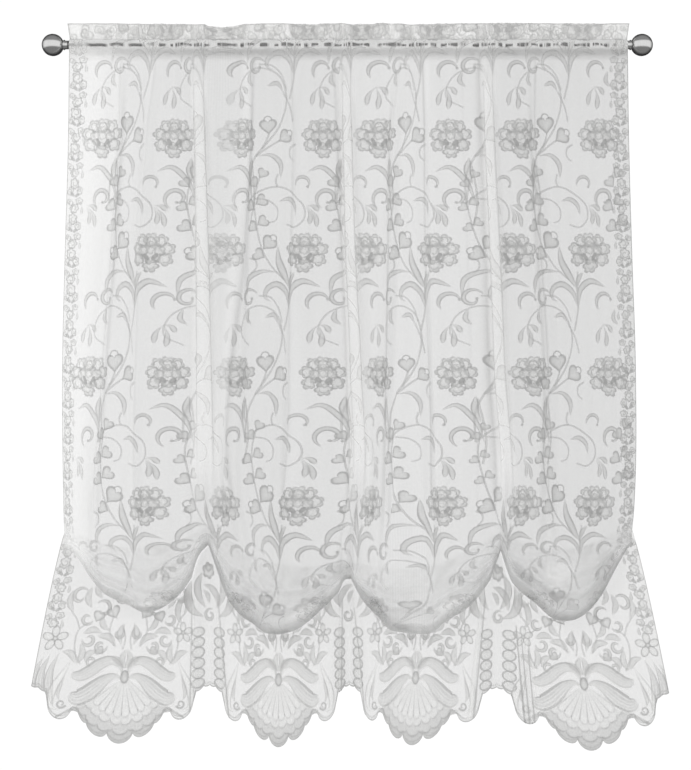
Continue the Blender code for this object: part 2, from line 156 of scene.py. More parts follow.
ROLLS = 3
ROLL_DEPTH = 0.008
ROLL_SPREAD = 1.3
ROLLS_FULL = 0.14
TURN_HEIGHT = 0.020
TURN_SHARE = 0.35
BELLY_TOP = -0.55
BELLY_FULL = -1.20
TIE_RISE = 0.010
TIE_SAG = 0.045
RECESS_REACH = 0.036

# Lobes of the scalloped hem over half a panel, from its lowest point to the gather line
Lobe = namedtuple("Lobe", "start end rise_start rise_end sag")
LOBES = table(
    Lobe,
    (-0.140, 0.140, 0.024, 0.024, 0.024),
    (0.140, 0.365, 0.024, 0.046, 0.0175),
    (0.365, 0.460, 0.046, 0.068, 0.006),
    (0.460, 0.540, 0.068, 0.071, -0.002),
    (0.540, 0.790, 0.071, 0.082, 0.023),
    (0.790, 0.835, 0.082, 0.114, 0.000),
    (0.835, 0.920, 0.114, 0.124, 0.003),
    (0.920, 1.000, 0.124, 0.126, 0.003),
)
LOBE_ROUNDNESS = 0.65


def ease(share):
    """A smooth step from 0 to 1."""
    share = np.clip(share, 0.0, 1.0)
    return share * share * (3.0 - 2.0 * share)


def between(z, top, rise, low, fall):
    """1 between two heights, easing in below the top one and out below the low one."""
    return ease((top - z) / rise) * (1.0 - ease((low - z) / fall))


def flowing(knots, values, at):
    """A smooth curve through values at rising knots, level past both ends."""
    knots = np.asarray(knots, float)
    values = np.asarray(values, float)
    slopes = np.gradient(values, knots)
    at = np.clip(at, knots[0], knots[-1])
    i = np.clip(np.searchsorted(knots, at) - 1, 0, len(knots) - 2)
    gap = knots[i + 1] - knots[i]
    t = (at - knots[i]) / gap
    start = (1.0 + 2.0 * t) * (1.0 - t) ** 2 * values[i] + t * (1.0 - t) ** 2 * gap * slopes[i]
    end = t * t * (3.0 - 2.0 * t) * values[i + 1] + t * t * (t - 1.0) * gap * slopes[i + 1]
    return start + end


def down_the_fold(row, z):
    """A fold's or edge's x at height z, from the x columns of its table row."""
    places = [row.x_waist, row.x_low, row.x_middle, row.x_upper, row.x_high, row.x_rod]
    return flowing(FOLD_LEVELS[::-1], places, z)


def gather_values(name):
    return [getattr(g, name) for g in GATHERS]


GATHER_ACROSS = gather_values("across")


def panel_share(across):
    """The panel that a place lies in, and its share of the way over that panel."""
    k = np.clip(np.searchsorted(GATHER_ACROSS, across, side="right") - 1, 0, len(PANELS) - 1)
    starts = np.array(GATHER_ACROSS)[k]
    widths = np.diff(GATHER_ACROSS)[k]
    return k, (across - starts) / widths


def cos_sin(degrees):
    return math.cos(math.radians(degrees)), math.sin(math.radians(degrees))


def panel_value(name, k):
    return np.array([getattr(p, name) for p in PANELS])[k]


def arch(share, sharpness):
    """0 at both gathers and 1 between them."""
    return np.sin(math.pi * np.clip(share, 0.0, 1.0)) ** sharpness


def body_x(across, z):
    """x of the hanging body: through the folds' sides, with each fold's own curve between them."""
    z = np.broadcast_to(np.asarray(z, float), across.shape)
    drop = ease((TUCK_TOP - z) / (TUCK_TOP - FOLD_LEVELS[-2]))
    edge_across = [0.0]
    edge_x = [down_the_fold(LEFT_EDGE, z)]
    for fold in FOLDS:
        hung = fold.hung_top + (fold.hung_low - fold.hung_top) * drop
        middle = down_the_fold(fold, z)
        edge_across += [fold.across - fold.reach, fold.across + fold.reach]
        edge_x += [middle - hung, middle + hung]
    edge_across.append(FLAT_WIDTH)
    edge_x.append(down_the_fold(RIGHT_EDGE, z))
    x = np.zeros_like(across)
    for i in range(len(edge_x) - 1):
        share = (across - edge_across[i]) / (edge_across[i + 1] - edge_across[i])
        here = (share >= 0.0) & (share <= 1.0)
        x = np.where(here, edge_x[i] + (edge_x[i + 1] - edge_x[i]) * share, x)
    full = between(z, TUCK_TOP, TUCK_TOP - TUCK_FULL, TUCK_FADES, TUCK_FADES - TUCK_END)
    for fold in FOLDS:
        q = np.clip((across - fold.across) / fold.reach, -1.0, 1.0)
        crest = 0.5 + 0.5 * np.cos(math.pi * q)
        x = x + full * (fold.tuck * np.sin(2.0 * math.pi * q) / (2.0 * math.pi) + fold.lean * crest)
    return x


# Soft creases that the scene adds to the solid's folds. They push the cloth towards the room only.
RIPPLE_DEPTH = 0.0016
RIPPLE_PITCH = 0.058
CRUMPLE_DEPTH = 0.0032
CRUMPLE_REACH = 0.075
CRUMPLE_RAYS = 6.0


def ripples(across, z):
    """Shallow upright creases between the main folds, drifting sideways on the way down."""
    drift = 0.35 * np.sin(3.1 * z + 5.0 * across) + 0.8 * np.sin(7.3 * across)
    wave = 0.5 + 0.5 * np.cos(2.0 * math.pi * across / RIPPLE_PITCH + 2.0 * math.pi * drift)
    return RIPPLE_DEPTH * wave * ease((STITCH_HEIGHT - z) / 0.06)


def crumples(x, z):
    """Creases that fan out from each gather."""
    depth = np.zeros_like(x)
    for i, gather in enumerate(GATHERS):
        dx, dz = x - gather.waist_x, z - gather.waist_z
        away = np.hypot(dx, dz)
        turn = np.arctan2(dz, dx)
        rays = 0.5 + 0.5 * np.cos(CRUMPLE_RAYS * turn + 2.0 * i + 30.0 * away)
        near = np.exp(-((away / CRUMPLE_REACH) ** 2)) * np.clip(away / 0.02, 0.0, 1.0)
        depth = depth + CRUMPLE_DEPTH * rays * near
    return depth


def body_y(across, z):
    """y of the hanging body: straight down from the rod, with its folds and the poufs' bellies."""
    down = ease((STITCH_HEIGHT - z) / (STITCH_HEIGHT - FOLD_LEVELS[-2]))
    y = FRONT_AT_STITCH + (FRONT_AT_WAIST - FRONT_AT_STITCH) * down
    grown = 0.2 + 0.8 * ease((STITCH_HEIGHT - z) / (STITCH_HEIGHT - FOLD_LEVELS[1]))
    drawn_in = 1.0 - 0.6 * ease((FOLD_LEVELS[-2] - z) / 0.12)
    for fold in FOLDS:
        q = np.clip((across - fold.across) / fold.reach, -1.0, 1.0)
        y = y - fold.proud * grown * drawn_in * (0.5 + 0.5 * np.cos(math.pi * q))
    k, share = panel_share(across)
    swell = ease((BELLY_TOP - z) / (BELLY_TOP - BELLY_FULL))
    return y - panel_value("belly", k) * arch(share, 0.75) * swell


def body_point(across, z):
    x = body_x(across, z)
    y = body_y(across, z) - ripples(across, z) - crumples(x, z)
    return x, y, z + np.zeros_like(across)


FINE_WAVE = 0.017
FINE_DEPTH = 0.0011
HEADING_UNEVEN = 0.0030  # how much the ruffles' tops differ in height
HEADING_FLARE = 0.005  # how far its ends stand out past the rod pocket's


def pocket_point(across, index):
    """A place on the heading or rod pocket. index counts along POCKET and may be a fraction."""
    knots = np.arange(len(POCKET), dtype=float)
    index = np.clip(index, 0.0, knots[-1])
    line_y, line_z, ruffle, puff = (
        flowing(knots, [getattr(line, name) for line in POCKET], index) for name in Line._fields
    )
    x = body_x(across, 0.0)
    middle = arch(across / FLAT_WIDTH, 0.5)
    wave = np.sin(2.0 * math.pi * x / POCKET_WAVE + 1.7 * np.sin(6.0 * x))
    wave = wave * (0.6 + 0.4 * np.sin(11.0 * x + 1.0)) * middle
    fullness = 0.5 + 0.5 * np.cos(2.0 * math.pi * x / POCKET_WAVE + 0.8 * np.sin(9.0 * x))
    phase = 2.5 * np.sin(23.0 * x) + 2.0 * np.sin(5.0 * x)
    fine = 0.5 + 0.5 * np.cos(2.0 * math.pi * x / FINE_WAVE + phase)
    radius = np.hypot(line_y, line_z)
    front = line_y < 0.0
    outward = 1.0 + (puff * PUFF_DEPTH * fullness + FINE_DEPTH * fine * middle * front) / radius
    dip = HEADING_DIP * np.exp(-(((across - DIP_ACROSS) / DIP_REACH) ** 2))
    dip = dip + HEADING_UNEVEN * (0.5 + 0.5 * np.sin(31.0 * x + 3.0 * np.sin(9.0 * x))) * middle
    top_share = np.clip((line_z - POCKET[4].z) / (HEADING_TOP - POCKET[4].z), 0.0, 1.0)
    y = line_y * outward + ruffle * RUFFLE_DEPTH * wave
    flare = np.exp(-across / 0.012) - np.exp(-(FLAT_WIDTH - across) / 0.012)
    x = x - HEADING_FLARE * flare * top_share
    z = line_z * np.where(puff > 0.9, 1.0, np.where(top_share > 0.0, 1.0, outward)) - dip * top_share**2
    return x, y, z


def waist_chord(across):
    """Height of the straight lines from gather to gather."""
    return np.interp(across, GATHER_ACROSS, gather_values("waist_z"))


def pouf_bottom(across):
    """Height of the poufs' lower edge."""
    k, share = panel_share(across)
    drop = np.zeros_like(share)
    for i, panel in enumerate(PANELS):
        drop = np.where(k == i, flowing(DROP_SHARES, panel.drops, share), drop)
    return waist_chord(across) - drop


def tie_height(across):
    """Height of the turn behind the poufs, where the skirt starts."""
    _, share = panel_share(across)
    return waist_chord(across) + TIE_RISE - TIE_SAG * arch(share, 1.0)


def foot_across():
    return [0.5 * (a + b) for a, b in zip(GATHER_ACROSS, GATHER_ACROSS[1:])]


def hem_base(across):
    """Height of the line along the lowest lobes."""
    return np.interp(across, foot_across(), [p.foot_z for p in PANELS])


def hem_rise(across):
    """Height of the scalloped hem above that line."""
    _, share = panel_share(across)
    place = np.abs(2.0 * share - 1.0)
    rise = np.zeros_like(place)
    for lobe in LOBES:
        t = (place - lobe.start) / (lobe.end - lobe.start)
        here = (t >= 0.0) & (t <= 1.0)
        bow = np.clip(4.0 * t * (1.0 - t), 0.0, 1.0) ** LOBE_ROUNDNESS
        arc = lobe.rise_start + (lobe.rise_end - lobe.rise_start) * t - lobe.sag * bow
        rise = np.where(here, arc, rise)
    return rise


def skirt_fall(across, z):
    """How far down the skirt a height is, from 0 at the tie to 1 at the lowest lobes."""
    tie = tie_height(across)
    return np.clip((tie - z) / (tie - hem_base(across)), 0.0, 1.0)


def skirt_x(across, z):
    fall = skirt_fall(across, z) ** 0.85
    waist = flowing(GATHER_ACROSS, gather_values("waist_x"), across)
    knots = sorted([*GATHER_ACROSS, *foot_across()])
    places = [None] * len(knots)
    places[0::2] = gather_values("hem_x")
    places[1::2] = [p.foot_x for p in PANELS]
    return waist + (flowing(knots, places, across) - waist) * fall


def skirt_y(across, z):
    """y of the skirt: forward between gathers, drawn back below them."""
    opened = skirt_fall(across, z) ** 0.7
    k, share = panel_share(across)
    wave = -panel_value("forward", k) * arch(share, 0.8)
    for gather in GATHERS:
        wave = wave + gather.recess * np.exp(-(((across - gather.across) / RECESS_REACH) ** 2))
    return SKIRT_BACK + wave * opened


def skirt_point(across, z):
    flutter = 0.5 + 0.5 * np.cos(2.0 * math.pi * across / 0.052 + 1.5 * np.sin(13.0 * across))
    y = skirt_y(across, z) + 0.0022 * flutter * skirt_fall(across, z)
    return skirt_x(across, z), y, z + np.zeros_like(across)


def return_y(across, z):
    """y of the layer that runs up behind a pouf, just in front of the skirt."""
    _, share = panel_share(across)
    tie = tie_height(across)
    low = np.clip((tie - z) / 0.15, 0.0, 1.0)
    return skirt_y(across, z) - LAYER_GAP * (1.0 + low * arch(share, 0.6))


ROLL_RIPPLE = 0.0020


def face_y(across, share):
    """y of a pouf's face: smooth above, with rolls and finer ripples towards its lower edge."""
    k, over = panel_share(across)
    z = face_height(across, share)
    drift = 0.05 * np.sin(5.0 * over + 2.1 * k)
    rolls = np.cos(2.0 * math.pi * ROLLS * (share**ROLL_SPREAD + drift))
    height = waist_chord(across) - face_height(across, 1.0)
    held = arch(over, 0.5) * ease((share - 0.15) / 0.6) * ease(height / ROLLS_FULL)
    finer = np.cos(2.0 * math.pi * (6.0 * share + 1.4 * np.sin(4.0 * over + 1.3 * k)))
    return body_y(across, z) - (ROLL_DEPTH * rolls + ROLL_RIPPLE * finer * share) * held


def turn_height(across):
    """Height of the rounding at a pouf's lower edge."""
    bottom = pouf_bottom(across)
    apart = return_y(across, bottom) - body_y(across, bottom)
    drop = waist_chord(across) - bottom
    return np.minimum(np.minimum(0.6 * apart, TURN_SHARE * drop), TURN_HEIGHT)


def face_height(across, share):
    chord = waist_chord(across)
    return chord + (pouf_bottom(across) + turn_height(across) - chord) * share


def face_point(across, share):
    z = face_height(across, share)
    x = body_x(across, z)
    y = face_y(across, share) - ripples(across, z) - crumples(x, z)
    return x, y, z


def turn_point(across, angle):
    """A place in the rounding under a pouf, from 0 at its face to pi at the layer behind."""
    bottom = pouf_bottom(across)
    height = turn_height(across)
    _, front, _ = face_point(across, np.ones_like(across))
    back = return_y(across, bottom + height)
    y = front + (back - front) * 0.5 * (1.0 - np.cos(angle))
    return body_x(across, bottom), y, bottom + height * (1.0 - np.sin(angle))


def return_point(across, share):
    start = pouf_bottom(across) + turn_height(across)
    z = start + (tie_height(across) - start) * share
    under = body_x(across, start)
    return under + (skirt_x(across, z) - under) * ease(share), return_y(across, z), z


# How the flat cloth runs down the hanging one. down is measured from the seam under the rod.
FACE_STRETCH = 1.22  # rolls take up this much more cloth than a plain face
POCKET_RUN = np.cumsum(
    [0.0] + [math.hypot(a.y - b.y, a.z - b.z) for a, b in zip(POCKET[::-1], POCKET[-2::-1])]
)


def chord_down(across):
    return STITCH_HEIGHT - waist_chord(across)


def face_length(across):
    return FACE_STRETCH * (waist_chord(across) - pouf_bottom(across))


def hung_place(across, down):
    """Where a place of the flat cloth above the skirt hangs."""
    across = np.clip(across, 0.0, FLAT_WIDTH)
    index = len(POCKET) - 1 - np.interp(-down, POCKET_RUN, np.arange(len(POCKET), dtype=float))
    over = np.array(pocket_point(across, index))
    chord = chord_down(across)
    body = np.array(body_point(across, STITCH_HEIGHT - np.clip(down, 0.0, chord)))
    length = face_length(across)
    face = np.array(face_point(across, np.clip((down - chord) / length, 0.0, 1.0)))
    past = down - chord - length
    turned = math.pi * turn_height(across)
    turn = np.array(turn_point(across, math.pi * np.clip(past / turned, 0.0, 1.0)))
    behind = np.array(return_point(across, np.clip((past - turned) / length, 0.0, 1.0)))
    place = np.where(down < 0.0, over, body)
    place = np.where(down > chord, face, place)
    place = np.where(past > 0.0, turn, place)
    place = np.where(past > turned, behind, place)
    return place.T


def skirt_place(across, rise):
    """Where a place of the skirt hangs. rise is its height above the line along the lowest lobes."""
    across = np.clip(across, 0.0, FLAT_WIDTH)
    return np.array(skirt_point(across, hem_base(across) + rise)).T


# Painted brightness of the plain cloth at places across it, as the share of light that its threads give
# back:
# the same white cloth is painted lighter towards the left, as if lit more from there
LIGHTS = (
    (0.00, 0.84),
    (0.07, 0.84),
    (0.12, 0.72),
    (0.20, 0.66),
    (0.33, 0.60),
    (0.50, 0.57),
    (0.75, 0.58),
    (0.95, 0.63),
    (1.15, 0.60),
    (1.30, 0.55),
    (1.60, 0.55),
)

# The same in the skirt, which is painted lighter than the body, and the painted highlight on the pleats;
# how closely the threads cover; and painted shade on steep parts and along the poufs' lower edges
SKIRT_LIGHT = 0.73
SKIRT_COVER = 0.62
PLEAT_GLOW = 0.23
PLEAT_COVER = 0.86
NET_COVER = 0.62
HIDDEN_COVER = 0.14
STEEP_SHADE = 0.12
STEEP_COVER = 0.78
EDGE_SHADE = 0.05
EDGE_COVER = 0.88

# The rod pocket and heading: the heading's painted brightness, and the painted white light over the pocket
HEADING_LIGHT = 0.89
POCKET_LIGHT = 0.98
POCKET_COVER = 0.96
ROD_SHADE = 0.04  # the soft shade under the rod

# Thin lines of painted shade down the folds: where each runs across the flat cloth at the three
# CREASE_LEVELS, how strong and wide it is, and the painted highlight stripe beside it, with that stripe's
# distance and half width
CREASE_LEVELS = (-0.06, -0.46, -0.92)
CREASE_END = -1.05
Crease = namedtuple("Crease", "top middle low strength half glow glow_at glow_half")
CREASES = table(
    Crease,
    (0.130, 0.130, 0.128, 0.70, 0.0022, 0.07, -0.012, 0.009),
    (0.235, 0.235, 0.235, 0.45, 0.0022, 0.04, -0.012, 0.009),
    (0.420, 0.420, 0.412, 0.30, 0.0022, 0.00, 0.012, 0.010),
    (0.532, 0.517, 0.492, 0.70, 0.0055, 0.09, -0.022, 0.013),
    (0.625, 0.636, 0.648, 0.45, 0.0026, 0.03, 0.012, 0.010),
    (0.732, 0.742, 0.742, 0.75, 0.0030, 0.00, 0.020, 0.014),
    (0.955, 0.955, 0.955, 0.40, 0.0034, 0.03, 0.014, 0.010),
    (1.050, 1.050, 1.052, 0.95, 0.0032, 0.10, 0.014, 0.009),
    (1.140, 1.141, 1.141, 0.25, 0.0025, 0.00, 0.012, 0.010),
    (1.174, 1.173, 1.172, 0.95, 0.0060, 0.04, 0.030, 0.014),
    (1.220, 1.221, 1.221, 0.20, 0.0020, 0.00, 0.012, 0.010),
    (1.365, 1.365, 1.365, 0.80, 0.0034, 0.03, 0.014, 0.009),
)
CREASE_COVER = 0.90
CREASE_SHADE = 0.13
CREASE_FOLLOW = 0.045  # how far to both sides the net's columns move along with a wandering crease


def crease_shift(crease, z):
    """How far a crease lies from its place at the middle level."""
    top, middle, low = CREASE_LEVELS
    levels = (CREASE_END, low, middle, top)
    places = (crease.middle, crease.low, crease.middle, crease.top)
    return flowing(levels, places, z) - crease.middle


def follow_creases(across, z):
    """Places across of the net's columns at a height, moved along with the creases."""
    moved = across.copy()
    for crease in CREASES:
        near = np.clip(1.0 - ((across - crease.middle) / CREASE_FOLLOW) ** 2, 0.0, 1.0) ** 2
        moved = moved + crease_shift(crease, z) * near
    return moved


def crease_marks(across, z):
    """How near a place is to a thin crease's painted shade line, and how bright the painted highlight
    stripes beside the creases make it.
    """
    share, glow = np.zeros_like(across), np.zeros_like(across)
    for i, crease in enumerate(CREASES):
        away = across - crease.middle - crease_shift(crease, z)
        strength = crease.strength * (0.86 + 0.14 * np.sin(2.3 * i + 9.0 * z))
        share = np.maximum(share, strength * np.exp(-((away / crease.half) ** 2)))
        glow = glow + crease.glow * np.exp(-(((away - crease.glow_at) / crease.glow_half) ** 2))
    fade = between(z, STITCH_HEIGHT, 0.03, -0.97, 0.10)
    return share * fade, glow * fade


def pleat_share(across, z):
    """How far a place lies on the front of one of the three deep pleats."""
    share = np.zeros_like(across)
    for fold in FOLDS:
        if fold.tuck > 0.0:
            q = np.abs(across - fold.across) / fold.reach
            share = np.maximum(share, 1.0 - ease((q - 0.80) / 0.28))
    return share * between(z, TUCK_TOP, 0.08, -0.92, 0.12)


# Where the cloth lies double beside a deep pleat and its pattern looks washed out, and where the figures
# are lightened past the ground as painted highlight on the pleats
WASHED = ((0.345, 0.490), (0.745, 0.865), (1.190, 1.268))
WASH_EDGE = 0.016


def washed_out(across, z):
    share = np.zeros_like(across)
    for left, right in WASHED:
        past_left = ease((across - left) / WASH_EDGE + 0.5)
        share = np.maximum(share, past_left * ease((right - across) / WASH_EDGE + 0.5))
    return share * between(z, TUCK_TOP, 0.08, -0.96, 0.10)


def ground_light(across, z):
    """Brightness of the plain net above the skirt, with painted light and shade across, at the pleats, at
    the creases and on the heading's ruffles.
    """
    ground = flowing(*zip(*LIGHTS), across)
    # A little darker towards the top
    ground = ground * (1.0 - 0.05 * ease((z + 0.25) / 0.20))
    # Painted highlight on the deep pleats
    ground = ground + PLEAT_GLOW * pleat_share(across, z)
    # Painted shade lines at the creases, and painted highlight stripes beside them
    share, glow = crease_marks(across, z)
    ground = ground * (1.0 - CREASE_SHADE * share) + glow
    gathered = ease((z - 0.004) / 0.012)
    # Painted lighter and darker upright stripes on the heading's ruffles
    ruffled = HEADING_LIGHT + 0.07 * np.sin(41.0 * across + 1.2) * np.sin(97.0 * across)
    return ground + (ruffled - ground) * gathered


# Painted soft shades and highlights where the poufs are drawn up and rolled: the place in millimetres, half
# sizes, turn in degrees, and how much lighter and closer woven the cloth looks there
Patch = namedtuple("Patch", "x z long short turned light cover")
PATCHES = table(
    Patch,
    (-312, -1115, 42, 22, 75, -0.06, 0.85),
    (-345, -1180, 75, 16, 58, -0.03, 0.80),
    (-285, -1165, 60, 13, -68, -0.08, 0.85),
    (-12, -1165, 48, 34, 20, -0.04, 0.82),
    (-62, -1215, 60, 18, 50, 0.00, 0.78),
    (45, -1225, 90, 17, -42, -0.09, 0.86),
    (90, -1270, 60, 14, -40, -0.06, 0.82),
    (335, -1135, 70, 26, 70, -0.05, 0.84),
    (295, -1180, 60, 20, 60, -0.04, 0.80),
    (385, -1175, 62, 19, -52, -0.08, 0.85),
    (445, -1215, 50, 15, -40, -0.05, 0.82),
    (575, -1150, 62, 46, 60, -0.03, 0.80),
    (545, -1200, 60, 26, 60, -0.03, 0.78),
    (-600, -1130, 50, 20, -60, 0.02, 0.74),
    (-98, -1252, 38, 9, 30, 0.30, 0.30),
    (-212, -1278, 13, 4, 25, -0.14, 0.60),
    (-145, -1297, 22, 5, 0, -0.14, 0.60),
    (-432, -1236, 45, 4, 0, 0.26, 0.30),
    (-432, -1246, 42, 6, -4, -0.08, 0.60),
    (-508, -1250, 12, 10, 20, -0.14, 0.60),
    (125, -1284, 20, 6, 0, -0.24, 0.80),
    (92, -1252, 30, 6, 8, -0.08, 0.50),
    (228, -1236, 42, 7, 22, 0.26, 0.30),
    (185, -1280, 16, 6, 25, -0.08, 0.50),
    (462, -1168, 34, 24, 30, 0.16, 0.10),
    (478, -1268, 30, 7, 0, -0.08, 0.60),
)


def patch_marks(x, z):
    """The painted light and shade that the patches add at a place, and how closely woven they make it look.
    """
    light, cover = np.zeros_like(x), np.zeros_like(x)
    for patch in PATCHES:
        cos_t, sin_t = cos_sin(patch.turned)
        dx, dz = x - patch.x * MM, z - patch.z * MM
        along = (dx * cos_t + dz * sin_t) / (patch.long * MM)
        aside = (dz * cos_t - dx * sin_t) / (patch.short * MM)
        near = np.exp(-((along**2 + aside**2) ** 1.5))
        light = light + patch.light * near
        cover = np.maximum(cover, patch.cover * near)
    return light, cover


def shape_normals(across, down, place, step=0.0006):
    """Directions square to the cloth, on the side that faces the room where the cloth hangs flat."""
    side = place(across + step, down) - place(across - step, down)
    fall = place(across, down + step) - place(across, down - step)
    return square_to(fall, side)


def make_mesh(name, points, faces, material, **attributes):
    """A mesh object with a smooth surface and one number a point for each attribute."""
    mesh = bpy.data.meshes.new(name)
    mesh.from_pydata([tuple(map(float, p)) for p in points], [], faces)
    for key, values in attributes.items():
        values = np.asarray(values, float)
        kind = "FLOAT" if values.ndim == 1 else "FLOAT_VECTOR"
        layer = mesh.attributes.new(key, kind, "POINT")
        layer.data.foreach_set("value" if kind == "FLOAT" else "vector", values.ravel())
    mesh.materials.append(material)
    mesh.polygons.foreach_set("use_smooth", [True] * len(mesh.polygons))
    piece = bpy.data.objects.new(name, mesh)
    bpy.context.scene.collection.objects.link(piece)
    return piece


def grid_faces(lines, count):
    """Quads between neighbouring lines of count points each."""
    corners = [line * count + i for line in range(lines - 1) for i in range(count - 1)]
    return [(a, a + 1, a + count + 1, a + count) for a in corners]


HEADING_EDGE = 6.5  # the heading's upper edge, counted along POCKET

# The net
PLAIN_COLUMN = 0.0086
PLEAT_COLUMN = 0.0048


def net_columns():
    """Places across of the net's columns, closer together in the deep pleats and at each crease."""
    stops = [0.0]
    for fold in FOLDS:
        gap = PLEAT_COLUMN if fold.tuck > 0.0 else PLAIN_COLUMN * 0.75
        start, end = fold.across - fold.reach, fold.across + fold.reach
        for reach, size in ((start, PLAIN_COLUMN), (end, gap)):
            count = max(1, round((reach - stops[-1]) / size))
            stops += list(np.linspace(stops[-1], reach, count + 1)[1:])
    count = round((FLAT_WIDTH - stops[-1]) / PLAIN_COLUMN)
    stops += list(np.linspace(stops[-1], FLAT_WIDTH, count + 1)[1:])
    for crease in CREASES:
        stops = [stop for stop in stops if abs(stop - crease.middle) > 2.6 * crease.half]
        stops += [crease.middle + side * crease.half for side in (-2.0, -1.0, 0.0, 1.0, 2.0)]
    return np.array(sorted(stops))


def hem_columns(across):
    """The same columns at the hem, moved so that one stands at each cusp of the lobes."""
    cusps = {0.0}
    for start, end in zip(GATHER_ACROSS, GATHER_ACROSS[1:]):
        middle, reach = 0.5 * (start + end), 0.5 * (end - start)
        for lobe in LOBES:
            cusps |= {round(middle + side * reach * lobe.end, 6) for side in (-1.0, 1.0)}
    cusps = sorted(cusps)
    nearest = [int(np.argmin(np.abs(across - cusp))) for cusp in cusps]
    return np.interp(np.arange(len(across)), nearest, cusps)


# Lines of the net: where the body's even ones end, and how many each part of the cloth has
BODY_END = -0.96
BODY_LINES = 100
CHORD_LINES = 18
FACE_LINES = 40
TURN_LINES = 8
RETURN_LINES = 14
SKIRT_LINES = 59
POCKET_FRONT = 10  # where along POCKET the finer lines of the front start
Row = namedtuple("Row", "skirt place down across kept edge")


def shares_after_start(count):
    return np.linspace(0.0, 1.0, count + 1)[1:]


def net_rows(across):
    """The lines of the net: points, the flat cloth's places, the cover kept, and the pouf's edge that gets
    painted shade.
    """
    one, none = np.ones_like(across), np.zeros_like(across)
    rows = []
    here = follow_creases(across, 0.0)
    last = len(POCKET) - 1
    back = np.linspace(0.0, POCKET_FRONT, 4 * POCKET_FRONT + 1)
    for index in [*back, *np.linspace(POCKET_FRONT, last, 21)[1:]]:
        down = -np.interp(last - index, np.arange(last + 1), POCKET_RUN)
        place = pocket_point(here, one * index)
        behind = ease((0.016 - place[2]) / 0.010) if index < HEADING_EDGE else none
        rows.append(Row(False, place, down * one, here, 1.0 - 0.85 * behind, none))
    for z in np.linspace(STITCH_HEIGHT - 0.006, BODY_END, BODY_LINES):
        here = follow_creases(across, z)
        rows.append(Row(False, body_point(here, z * one), (STITCH_HEIGHT - z) * one, here, one, none))
    chord = waist_chord(follow_creases(across, CREASE_END))
    for share in shares_after_start(CHORD_LINES):
        here = follow_creases(across, BODY_END + (CREASE_END - BODY_END) * share)
        z = np.maximum(BODY_END + (chord - BODY_END) * share, waist_chord(here))
        rows.append(Row(False, body_point(here, z), STITCH_HEIGHT - z, here, one, none))
    length = face_length(across)
    face_start = STITCH_HEIGHT - chord
    for share in shares_after_start(FACE_LINES):
        edge = one * 0.6 * ease((share - 0.95) / 0.05)
        down = face_start + length * share
        rows.append(Row(False, face_point(across, one * share), down, across, one, edge))
    turned = math.pi * turn_height(across)
    for share in shares_after_start(TURN_LINES):
        kept = one - (1.0 - HIDDEN_COVER) * ease((share - 0.45) / 0.4)
        place = turn_point(across, one * math.pi * share)
        down = face_start + length + turned * share
        rows.append(Row(False, place, down, across, kept, one * (1.0 - 0.5 * share)))
    return_start = face_start + length + turned
    for share in shares_after_start(RETURN_LINES):
        place = return_point(across, one * share)
        rows.append(Row(True, place, return_start + length * share, across, HIDDEN_COVER * one, none))
    at_hem = hem_columns(across)
    for share in np.linspace(0.0, 1.0, SKIRT_LINES):
        here = across + (at_hem - across) * ease(share)
        tie = tie_height(here)
        z = tie + (hem_base(here) + hem_rise(here) - tie) * share
        place = skirt_point(here, z)
        down = return_start + length + (tie - z)
        rows.append(Row(True, place, down, here, skirt_kept(place[0], z), none))
    return rows


def covered_above(x):
    """Height above which a pouf hangs in front, at places along the rod."""
    across = np.linspace(0.0, FLAT_WIDTH, 801)
    edge = pouf_bottom(across)
    return np.interp(x, body_x(across, edge), edge, left=0.0, right=0.0)


def skirt_kept(x, z):
    """Share of the cover that the skirt keeps: most of it lies below the pouf in front of it."""
    return HIDDEN_COVER + (1.0 - HIDDEN_COVER) * ease((covered_above(x) + 0.010 - z) / 0.020)


def square_to(fall, side):
    """Unit directions square to two others."""
    normal = np.cross(fall, side)
    return normal / np.maximum(np.linalg.norm(normal, axis=-1, keepdims=True), 1e-12)


# Where the cloth over the rod's front is stretched thin, so that the rod, coloured dark as painted shade,
# shows as dashes
ROD_GAP_HALF = 0.0040
ROD_GAP_HEIGHT = -0.0020
SLITS = ((-0.580, -0.533), (-0.526, -0.495), (-0.486, -0.452))
BROKEN_FROM = -0.45
BROKEN_TO = 0.610
IN_FRONT = -0.006  # y of the pocket's front is below this


def rod_gaps(points):
    """Solid slits near the left end, and broken ones along the rest of the rod."""
    x, y, z = np.moveaxis(points, -1, 0)
    height = ROD_GAP_HEIGHT + 0.0010 * np.sin(83.0 * x) + 0.0007 * np.sin(171.0 * x + 1.0)
    half = ROD_GAP_HALF * (0.85 + 0.30 * np.sin(131.0 * x + 0.6) * (x > BROKEN_FROM))
    line = np.exp(-(((z - height) / half) ** 4)) * (y < IN_FRONT)
    slit = np.zeros_like(x)
    for start, end in SLITS:
        slit = np.maximum(slit, ease((x - start) / 0.004) * ease((end - x) / 0.004))
    broken = ease((x - BROKEN_FROM) / 0.03) * ease((BROKEN_TO - x) / 0.03)
    return line * slit, line * (broken + 0.5 * ease((-0.585 - x) / 0.004))


def over_pocket(z):
    """How far a height lies on the rod pocket's front."""
    return between(z, 0.0135, 0.005, -0.020, 0.020)


def pocket_marks(points, light, cover):
    """Light and cover of the pocket: painted white light round the rod's middle, painted soft shade under
    it, then fading.
    """
    y, z = points[:, :, 1], points[:, :, 2]
    front = y < IN_FRONT
    near = front * over_pocket(z)
    white = near * (1.0 - ease((-0.007 - z) / 0.008))
    light = light + (POCKET_LIGHT - light) * white
    cover = cover + (POCKET_COVER - cover) * near
    shade = np.exp(-(((z + 0.0185) / 0.0085) ** 2)) * front
    return light * (1.0 - ROD_SHADE * shade), cover


def low_down(z):
    """How far a height lies in the part where the cloth is drawn up."""
    return ease((-1.02 - z) / 0.06)


